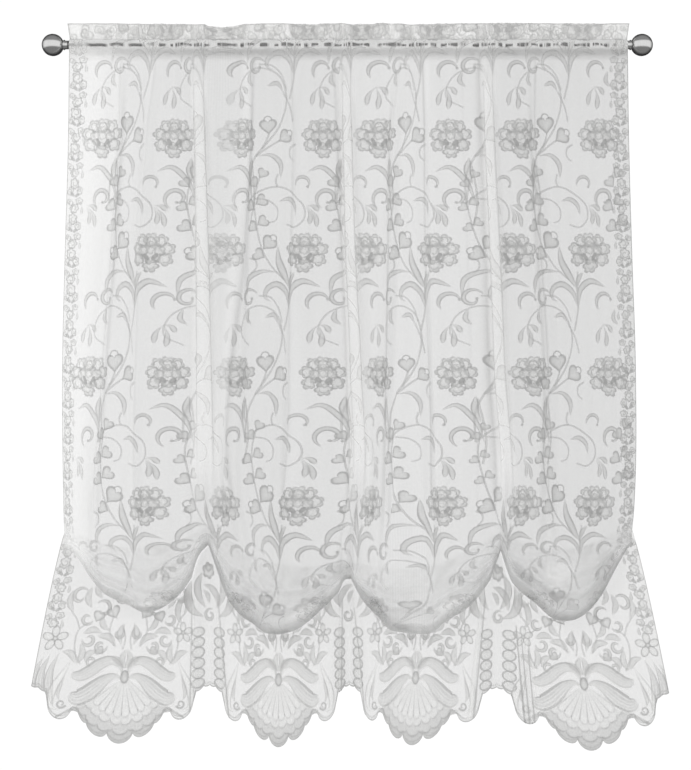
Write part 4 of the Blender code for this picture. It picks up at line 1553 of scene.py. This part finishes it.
def add_side(figures, middle, side, half_panel, at_edge):
    """What fills the skirt between a fan's wings and the panel's side."""
    add_leaf(figures, skirt_knots(middle, side, FLAME), 9.0 * MM, FLAME_LINES, 0.55, 26, 0.0005)
    add_leaf(figures, skirt_knots(middle, side, FLAME_INNER), 4.0 * MM, FEATHER, 0.55, 14, 0.0005)
    curl = spiral((middle + side * 127.0 * MM, 0.088), 0.010, 0.003, 90.0 + side * 110.0, side * 430.0, 24)
    add_cord(figures, curl, 0.0028, 0.0012, 0.0009)
    if at_edge:
        add_feathers(figures, middle, side, SIDE_LEAVES, 16)
        add_small_flower(figures, (middle + side * 162.0 * MM, 0.232), 0.0270)
        return
    beside = middle + side * (half_panel - OVAL_BESIDE * MM)
    for height, reach in OVALS:
        add_round(figures, (beside, height * MM), 16.5 * MM, reach * MM, side * 8.0, OVAL_TONES, 0.0005, 18)
    add_small_flower(figures, (middle + side * 130.0 * MM, 0.246), 0.0220)
    add_feathers(figures, middle, side, FEATHERS, 16, 0.0006)


def add_fan(figures, middle, index):
    """One fan of the hem border with its wings, leaves and curls."""
    add_fan_field(figures, middle)
    for side in (-1.0, 1.0):
        for wing in WINGS:
            spine = along_curve(skirt_knots(middle, side, wing.knots), 30)
            section = WING if side > 0 else Section(WING.sides, WING.tones[::-1])
            add_band(figures, spine, wing_widths(30, wing.half * MM), section, wing.lift * MM)
        add_feathers(figures, middle, side, SKIRT_LEAVES)
        for stem in SKIRT_STEMS:
            add_stem(figures, skirt_knots(middle, side, stem.knots), stem.half * MM, stem.end * MM)
        for bud in SKIRT_BUDS:
            angle = bud.angle if side > 0 else 180.0 - bud.angle
            add_bud(figures, (middle + side * bud.x * MM, bud.y * MM), angle, bud.size * MM)
        for (x, y), start, end, angle, sweep, half in SKIRT_CURLS:
            turned, swept = (angle, sweep) if side > 0 else (180.0 - angle, -sweep)
            centre = (middle + side * x * MM, y * MM)
            add_scroll(figures, spiral(centre, start * MM, end * MM, turned, swept, 22), half * MM)
        half_panel = 0.5 * (GATHER_ACROSS[index + 1] - GATHER_ACROSS[index])
        at_edge = (index == 0 and side < 0) or (index == len(PANELS) - 1 and side > 0)
        add_side(figures, middle, side, half_panel, at_edge)
    add_round(figures, (middle, KNOT_HEIGHT), 0.0095, 0.0150, 0.0, (0.50, 0.35, -0.25), 0.0018)
    add_round(figures, (middle, KNOT_HEIGHT - 0.002), 0.0045, 0.009, 0.0, (1.4, 1.3, 0.8), 0.0021)


def add_opening(figures, gather, mirror):
    """A bloom with two leaves and a scroll under it, in the opening below a gather."""
    upper, lower, scroll = skirt_knots(gather, mirror, ((-2, 384), (-2, 390), (2, 284)))
    add_cloud(figures, upper, 0.0170, 0.0200, 10.0, 6, BLOOM, 0.0006, 0.24)
    add_cloud(figures, lower, 0.0085, 0.0090, 40.0, 4, BLOOM, 0.0010, 0.20)
    add_feathers(figures, gather, mirror, OPENING_LEAVES, 16, 0.0006)
    add_scroll(figures, spiral(scroll, 0.015, 0.005, 60.0, mirror * 400.0, 24), 0.0032, 0.0006)


def make_fans():
    figures = Figures()
    for index, middle in enumerate(foot_across()):
        add_fan(figures, middle, index)
    for number, gather in enumerate(GATHER_ACROSS[1:-1]):
        add_opening(figures, gather, 1.0 if number % 2 == 0 else -1.0)
    # Thin lines of painted highlight and shade along the skirt's narrow pleats
    for line in PAINTED_PLEAT_LINES:
        beside = GATHER_ACROSS[line.gather] + np.linspace(line.low, line.high, 24) * MM
        spine = np.stack([beside, np.linspace(line.rise_low, line.rise_high, 24) * MM], axis=1)
        section = Section((-1.0, -0.3, 0.3, 1.0), (0.9, line.tone, line.tone, 0.9))
        add_band(figures, spine, taper_widths(24, line.half * MM, 0.6 * line.half * MM), section, 0.0014)
    across = hem_columns(np.linspace(0.0, FLAT_WIDTH, 801))
    for inset, half in ((0.0016, 0.0016), (0.0080, 0.0009)):
        add_cord(figures, np.stack([across, hem_rise(across) + inset], axis=1), half, half, 0.0006)
    add_side_borders(figures, 3, 0.292, -1.0, np.linspace(0.126, 0.46, 60))
    return figures


# How light the figures are and how closely they cover, and how much they fade where the cloth lies double,
# where they also lighten as painted highlight, towards the poufs' lower edges and over the rod pocket
FIGURE_DARK = 0.53
FIGURE_SPAN = 0.26
RIM_COVER = 0.94
FILL_COVER = 0.72
WASH = 0.45
EDGE_LIGHT_FADE = 0.85
EDGE_COVER_FADE = 0.84
POCKET_FADE = 0.65


def fade_figures(across, down, points, steep, ground, light, cover):
    """Light and cover of the figures above the skirt, where the cloth's own state hides part of them, with
    painted light and shade from the patches and the pleats.
    """
    x, _, z = points.T
    low = low_down(z)
    # Painted light and shade of the patches low on the poufs
    patch_light, patch_cover = patch_marks(x, z)
    light = light + low * (0.8 * patch_light + 0.5 * patch_cover * (ground - light))
    # Where the pleats are, the figures lighten past the ground as painted highlight
    washed = washed_out(across, z)
    light = light + WASH * washed * (1.15 * ground - light)
    near_edge = low * ease((0.080 + pouf_bottom(across) - z) / 0.065)
    near_edge = np.maximum(near_edge, 0.8 * low * ease((steep - 0.25) / 0.45))
    light = light + EDGE_LIGHT_FADE * near_edge * (ground - light)
    cover = cover * (1.0 - WASH * washed) * (1.0 - EDGE_COVER_FADE * near_edge)
    past = down - chord_down(across) - face_length(across) - 2.0 * turn_height(across)
    hidden = (1.0 - HIDDEN_COVER) * ease(past / 0.02 + 0.5)
    return light, cover * (1.0 - POCKET_FADE * over_pocket(z)) * (1.0 - hidden)


def lay_figures(name, figures, place, material):
    """The figures' mesh, carried onto the cloth and lifted off it by a thread's thickness."""
    across, down = np.array(figures.places, float).T
    across = np.clip(across, 0.0005, FLAT_WIDTH - 0.0005)
    skirt = place is skirt_place
    if skirt:
        down = np.clip(down, hem_rise(across) + 0.0003, tie_height(across) - hem_base(across) - 0.002)
    normals = shape_normals(across, down, place) * (-1.0 if skirt else 1.0)
    points = place(across, down) + normals * np.array(figures.lifts)[:, None]
    tone = np.array(figures.tones)
    ground = SKIRT_LIGHT if skirt else ground_light(across, points[:, 2])
    steep = 1.0 - np.abs(normals[:, 1])
    # Figures take on part of the ground's painted light and shade, and painted shade on steep parts
    light = (FIGURE_DARK + FIGURE_SPAN * tone) * (0.55 + 0.45 * ground / 0.60)
    light = light * (1.0 - 0.5 * STEEP_SHADE * ease(steep * 1.15))
    cover = np.clip(RIM_COVER + (FILL_COVER - RIM_COVER) * tone, 0.0, 1.0)
    if skirt:
        cover = cover * skirt_kept(points[:, 0], points[:, 2])
    else:
        light, cover = fade_figures(across, down, points, steep, ground, light, cover)
    flat = np.column_stack([across, down, 0.0 * down])
    return make_mesh(name, points, figures.faces, material, light=light, cover=cover, flat=flat)


# Materials
WHITE = (1.0, 1.0, 1.0, 1.0)
DASH_SCALE = 62.0
THREAD_SLANTS = (58.0, -58.0, 0.0)
LACE_TINT = (("Red", 1.0), ("Green", 1.0), ("Blue", 0.992))


def set_inputs(tree, node, inputs):
    """Sets a node's sockets to values, or links them to other nodes' outputs."""
    for socket, value in inputs.items():
        if isinstance(value, bpy.types.NodeSocket):
            tree.links.new(value, node.inputs[socket])
        else:
            node.inputs[socket].default_value = value


def add_node(tree, kind, inputs, **settings):
    """A new node with its settings and inputs. Returns its outputs."""
    node = tree.nodes.new(kind)
    for name, value in settings.items():
        setattr(node, name, value)
    set_inputs(tree, node, inputs)
    return node.outputs


def attribute(tree, name):
    return add_node(tree, "ShaderNodeAttribute", {}, attribute_name=name)


def calculated(tree, operation, *values, use_clamp=False):
    """The outcome of a Math node."""
    inputs = dict(enumerate(values))
    return add_node(tree, "ShaderNodeMath", inputs, operation=operation, use_clamp=use_clamp)["Value"]


def ranged(tree, value, low, high, at_low=0.0, at_high=1.0, kind="LINEAR"):
    """A value carried from one range to another."""
    inputs = {"Value": value, "From Min": low, "From Max": high, "To Min": at_low, "To Max": at_high}
    return add_node(tree, "ShaderNodeMapRange", inputs, interpolation_type=kind)["Result"]


def mixed(tree, share, first, second):
    """The outcome of a Mix Shader node."""
    return add_node(tree, "ShaderNodeMixShader", {"Fac": share, 1: first, 2: second})["Shader"]


def new_material(name):
    material = bpy.data.materials.new(name)
    material.use_nodes = True
    return material, material.node_tree


def parted_over_rod(tree, flat):
    """The share of the cover that stays where the cloth is stretched open over the rod's front."""
    inputs = {"W": add_node(tree, "ShaderNodeSeparateXYZ", {"Vector": flat})["X"]}
    inputs |= {"Scale": DASH_SCALE, "Detail": 2.0}
    dashes = add_node(tree, "ShaderNodeTexNoise", inputs, noise_dimensions="1D")["Fac"]
    broken = ranged(tree, dashes, 0.42, 0.52)
    gap, slit = attribute(tree, "gap")["Fac"], attribute(tree, "slit")["Fac"]
    parted = calculated(tree, "MULTIPLY_ADD", gap, broken, slit, use_clamp=True)
    return calculated(tree, "SUBTRACT", 1.0, parted)


def lace_material(name, thread_pitch, open_share, roughness):
    """Polyester lace: threads by the flat cloth, brightness and cover by the mesh's own numbers; the
    brightness holds painted light and shade.
    """
    material, tree = new_material(name)
    tree.nodes.clear()
    flat = attribute(tree, "flat")["Vector"]
    threads = None
    for slant in THREAD_SLANTS:
        turn = {"Vector": flat, "Rotation": (0.0, 0.0, math.radians(slant))}
        inputs = {"Vector": add_node(tree, "ShaderNodeMapping", turn)["Vector"]}
        inputs |= {"Scale": 2.0 * math.pi / thread_pitch / 20.0, "Distortion": 0.15}
        wave = add_node(tree, "ShaderNodeTexWave", inputs, wave_type="BANDS", bands_direction="X")["Fac"]
        threads = wave if threads is None else calculated(tree, "MAXIMUM", threads, wave)
    openness = ranged(tree, threads, 0.55, 1.0, 1.0 - open_share, 1.0 + 0.35 * open_share)
    cover = calculated(tree, "MULTIPLY", attribute(tree, "cover")["Fac"], openness, use_clamp=True)
    closed = calculated(tree, "MULTIPLY", cover, parted_over_rod(tree, flat))
    mottle = add_node(tree, "ShaderNodeTexNoise", {"Vector": flat, "Scale": 260.0, "Detail": 3.0})["Fac"]
    uneven = ranged(tree, mottle, 0.0, 1.0, 0.88, 1.12)
    bright = calculated(tree, "MULTIPLY", attribute(tree, "light")["Fac"], uneven, use_clamp=True)
    channels = {channel: calculated(tree, "MULTIPLY", bright, share) for channel, share in LACE_TINT}
    colour = add_node(tree, "ShaderNodeCombineColor", channels)["Color"]
    relief = {"Height": threads, "Strength": 0.35, "Distance": 0.0003}
    looks = {"Base Color": colour, "Normal": add_node(tree, "ShaderNodeBump", relief)["Normal"]}
    looks |= {"Roughness": roughness, "Specular IOR Level": 0.25}
    looks |= {"Sheen Weight": 0.15, "Sheen Roughness": 0.5}
    cloth = add_node(tree, "ShaderNodeBsdfPrincipled", looks)["BSDF"]
    through = add_node(tree, "ShaderNodeBsdfTranslucent", {"Color": colour})["BSDF"]
    hole = add_node(tree, "ShaderNodeBsdfTransparent", {})["BSDF"]
    surface = mixed(tree, closed, hole, mixed(tree, 0.30, cloth, through))
    add_node(tree, "ShaderNodeOutputMaterial", {"Surface": surface})
    return material


def nickel_material(name, dark, light):
    """Brushed nickel between two greys: fine lines round the metal, with a soft sheen."""
    material, tree = new_material(name)
    place = add_node(tree, "ShaderNodeTexCoord", {})["Object"]
    lines = add_node(tree, "ShaderNodeMapping", {"Vector": place, "Scale": (900.0, 30.0, 30.0)})["Vector"]
    grain = add_node(tree, "ShaderNodeTexNoise", {"Vector": lines, "Scale": 1.0, "Detail": 4.0})["Fac"]
    tint = tree.nodes.new("ShaderNodeValToRGB")
    tint.color_ramp.elements[0].color = (dark, dark, dark, 1.0)
    tint.color_ramp.elements[1].color = (light, light, 0.99 * light, 1.0)
    set_inputs(tree, tint, {"Fac": grain})
    relief = {"Height": grain, "Strength": 0.08, "Distance": 0.0002}
    normal = add_node(tree, "ShaderNodeBump", relief)["Normal"]
    roughness = ranged(tree, grain, 0.0, 1.0, 0.12, 0.24)
    looks = {"Base Color": tint.outputs["Color"], "Normal": normal, "Metallic": 1.0, "Roughness": roughness}
    set_inputs(tree, tree.nodes["Principled BSDF"], looks)
    return material


# Rod and finials
TURNED_SIDES = 64
CHAMFER = 0.0004
GROOVE = 0.0007
BALL_RINGS = 24


def make_turned(name, profile, material):
    """A turned piece along X. profile runs from one end on the axis to the other, as x and radius."""
    angles = [2.0 * math.pi * k / TURNED_SIDES for k in range(TURNED_SIDES)]
    points = [(x, radius * math.cos(a), radius * math.sin(a)) for x, radius in profile for a in angles]
    faces = []
    for first in range(0, (len(profile) - 1) * TURNED_SIDES, TURNED_SIDES):
        for k in range(TURNED_SIDES):
            after = (k + 1) % TURNED_SIDES
            next_ring = first + TURNED_SIDES
            faces.append((first + k, first + after, next_ring + after, next_ring + k))
    faces.append(tuple(range(TURNED_SIDES))[::-1])
    faces.append(tuple(range(len(points) - TURNED_SIDES, len(points))))
    piece = make_mesh(name, points, faces, material)
    piece.data.set_sharp_from_angle(angle=math.radians(35.0))
    return piece


def make_rod(material):
    end = ROD_HALF_LENGTH
    half = [(end - CHAMFER, ROD_RADIUS), (end, ROD_RADIUS - CHAMFER)]
    return make_turned("nickel_rod", [(-x, radius) for x, radius in half[::-1]] + half, material)


def make_finial(name, side, material):
    """A ball with its neck and collar. Its profile starts at the far end of the ball."""
    last_angle = math.pi - math.asin(ROD_RADIUS / BALL_RADIUS)
    angles = [last_angle * i / BALL_RINGS for i in range(1, BALL_RINGS + 1)]
    profile = [(BALL_CENTRE + BALL_RADIUS * math.cos(a), BALL_RADIUS * math.sin(a)) for a in angles]
    neck_end = ROD_HALF_LENGTH + FIT_GAP
    profile += [
        (BALL_CENTRE - COLLAR_START + GROOVE, COLLAR_RADIUS - 2.0 * GROOVE),
        (BALL_CENTRE - COLLAR_START, COLLAR_RADIUS),
        (BALL_CENTRE - COLLAR_END, COLLAR_RADIUS),
        (BALL_CENTRE - COLLAR_END, ROD_RADIUS),
        (neck_end + GROOVE, ROD_RADIUS),
        (neck_end, ROD_RADIUS - GROOVE),
    ]
    return make_turned(name, [(side * x, radius) for x, radius in profile], material)


# Studio
CAMERA_PLACE = (-0.004, -4.0, -0.757)
CAMERA_LENS = 84.0
LIT = 0.74
SEEN = 1.03
LAMP_SIZE = 2.4
LAMP_AIM = (0.0, 0.0, -0.8)


def make_camera():
    data = bpy.data.cameras.new("camera")
    data.lens, data.sensor_width = CAMERA_LENS, 36.0
    camera = bpy.data.objects.new("camera", data)
    camera.location = CAMERA_PLACE
    camera.rotation_euler = (math.radians(90.0), 0.0, 0.0)
    bpy.context.scene.collection.objects.link(camera)
    bpy.context.scene.camera = camera


# What the metal mirrors: a lit screen before the rod, curved so that a ball shows it as a straight band.
# Its edges are heights on a ball, as shares of its radius.
SCREEN_LOW = -0.18
SCREEN_HIGH = 0.37
MIRROR_BAND = 1.78
MIRROR_FLOOR = 0.45
MIRROR_CEILING = 0.56
MIRROR_BEHIND = 0.10


def smooth_step(tree, value, middle, half, at_low, at_high):
    return ranged(tree, value, middle - half, middle + half, at_low, at_high, "SMOOTHSTEP")


def band_of_light(tree):
    """The room in front as a bright band, a grey floor and ceiling, and a dark wall behind."""
    place = add_node(tree, "ShaderNodeTexCoord", {})["Generated"]
    parts = add_node(tree, "ShaderNodeSeparateXYZ", {"Vector": place})
    root = calculated(tree, "SQRT", calculated(tree, "MULTIPLY_ADD", parts["Y"], -2.0, 2.001))
    height = calculated(tree, "DIVIDE", parts["Z"], root)
    rising = smooth_step(tree, height, SCREEN_LOW, 0.05, MIRROR_FLOOR, MIRROR_BAND)
    falling = smooth_step(tree, height, SCREEN_HIGH, 0.06, 1.0, MIRROR_CEILING / MIRROR_BAND)
    in_front = ranged(tree, parts["Y"], -0.10, 0.75, 1.0, MIRROR_BEHIND, "SMOOTHSTEP")
    return calculated(tree, "MULTIPLY", calculated(tree, "MULTIPLY", rising, falling), in_front)


def make_world():
    """A white surround that lights the cloth a little less than it shows."""
    world = bpy.data.worlds.new("studio")
    bpy.context.scene.world = world
    world.use_nodes = True
    tree = world.node_tree
    shown = tree.nodes["Background"]
    set_inputs(tree, shown, {"Strength": SEEN, "Color": WHITE})
    lighting = add_node(tree, "ShaderNodeBackground", {"Strength": LIT, "Color": WHITE})["Background"]
    mirrored = add_node(tree, "ShaderNodeBackground", {"Strength": band_of_light(tree)})["Background"]
    rays = add_node(tree, "ShaderNodeLightPath", {})
    gloss = mixed(tree, rays["Is Glossy Ray"], lighting, mirrored)
    surface = mixed(tree, rays["Is Camera Ray"], gloss, shown.outputs["Background"])
    set_inputs(tree, tree.nodes["World Output"], {"Surface": surface})


def make_light(name, place, power):
    """A round lamp that faces the middle of the cloth."""
    data = bpy.data.lights.new(name, "AREA")
    data.shape = "DISK"
    data.size = LAMP_SIZE
    data.energy = power
    lamp = bpy.data.objects.new(name, data)
    lamp.location = place
    x, y, z = (a - b for a, b in zip(LAMP_AIM, place))
    lamp.rotation_euler = (math.radians(90.0) + math.atan2(z, math.hypot(x, y)), 0.0, math.atan2(-x, y))
    lamp.visible_glossy = False
    bpy.context.scene.collection.objects.link(lamp)


FLOOR_HEIGHT = -2.1
FLOOR_RADIUS = 2.2
FLOOR_SIDES = 64


def make_floor():
    """A pale round floor that fades out at its rim."""
    material, tree = new_material("pale_floor")
    place = add_node(tree, "ShaderNodeTexCoord", {})["Object"]
    away = add_node(tree, "ShaderNodeVectorMath", {0: place}, operation="LENGTH")["Value"]
    fade = ranged(tree, away, 0.35 * FLOOR_RADIUS, FLOOR_RADIUS, 1.0, 0.0, "SMOOTHSTEP")
    looks = {"Base Color": (0.95, 0.95, 0.95, 1.0), "Roughness": 0.9, "Alpha": fade}
    set_inputs(tree, tree.nodes["Principled BSDF"], looks)
    rim = [2.0 * math.pi * k / FLOOR_SIDES for k in range(FLOOR_SIDES)]
    points = [(FLOOR_RADIUS * math.cos(a), FLOOR_RADIUS * math.sin(a), 0.0) for a in rim]
    floor = make_mesh("floor", points, [tuple(range(FLOOR_SIDES))], material)
    floor.location = (0.0, 0.0, FLOOR_HEIGHT)
    floor.visible_glossy = False


bpy.context.scene.view_settings.view_transform = "Standard"
make_camera()
make_world()
make_light("key", (-2.2, -3.2, 0.9), 42.0)
make_light("fill", (2.6, -2.6, -0.2), 12.0)
make_light("rear", (-1.2, 3.0, 0.8), 16.0)
make_floor()

net_look = lace_material("lace_net", 0.0019, 0.30, 0.85)
figure_look = lace_material("lace_figures", 0.0011, 0.10, 0.80)
# The rod's nickel is coloured far darker than the balls' as painted shade, the rod lying shaded in its
# pocket
rod_nickel_painted_shade = nickel_material("rod_nickel_painted_shade", 0.10, 0.20)
ball_nickel = nickel_material("ball_nickel", 0.42, 0.56)

net = make_net(net_look)
leaves, flowers = make_garden()
garden = lay_figures("lace_leaves", leaves, hung_place, figure_look)
blooms = lay_figures("lace_flowers", flowers, hung_place, figure_look)
borders = lay_figures("lace_side_borders", make_borders(), hung_place, figure_look)
fans = lay_figures("lace_fan_border", make_fans(), skirt_place, figure_look)
for piece in (net, garden, blooms, borders, fans):
    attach(piece, "root")
    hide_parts("curtain")

rod = make_rod(rod_nickel_painted_shade)
left_ball = make_finial("ball_finial_left", -1.0, ball_nickel)
right_ball = make_finial("ball_finial_right", 1.0, ball_nickel)
for piece, node in ((rod, "rod"), (left_ball, "finial_left"), (right_ball, "finial_right")):
    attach(piece, "root")
    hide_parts(node)
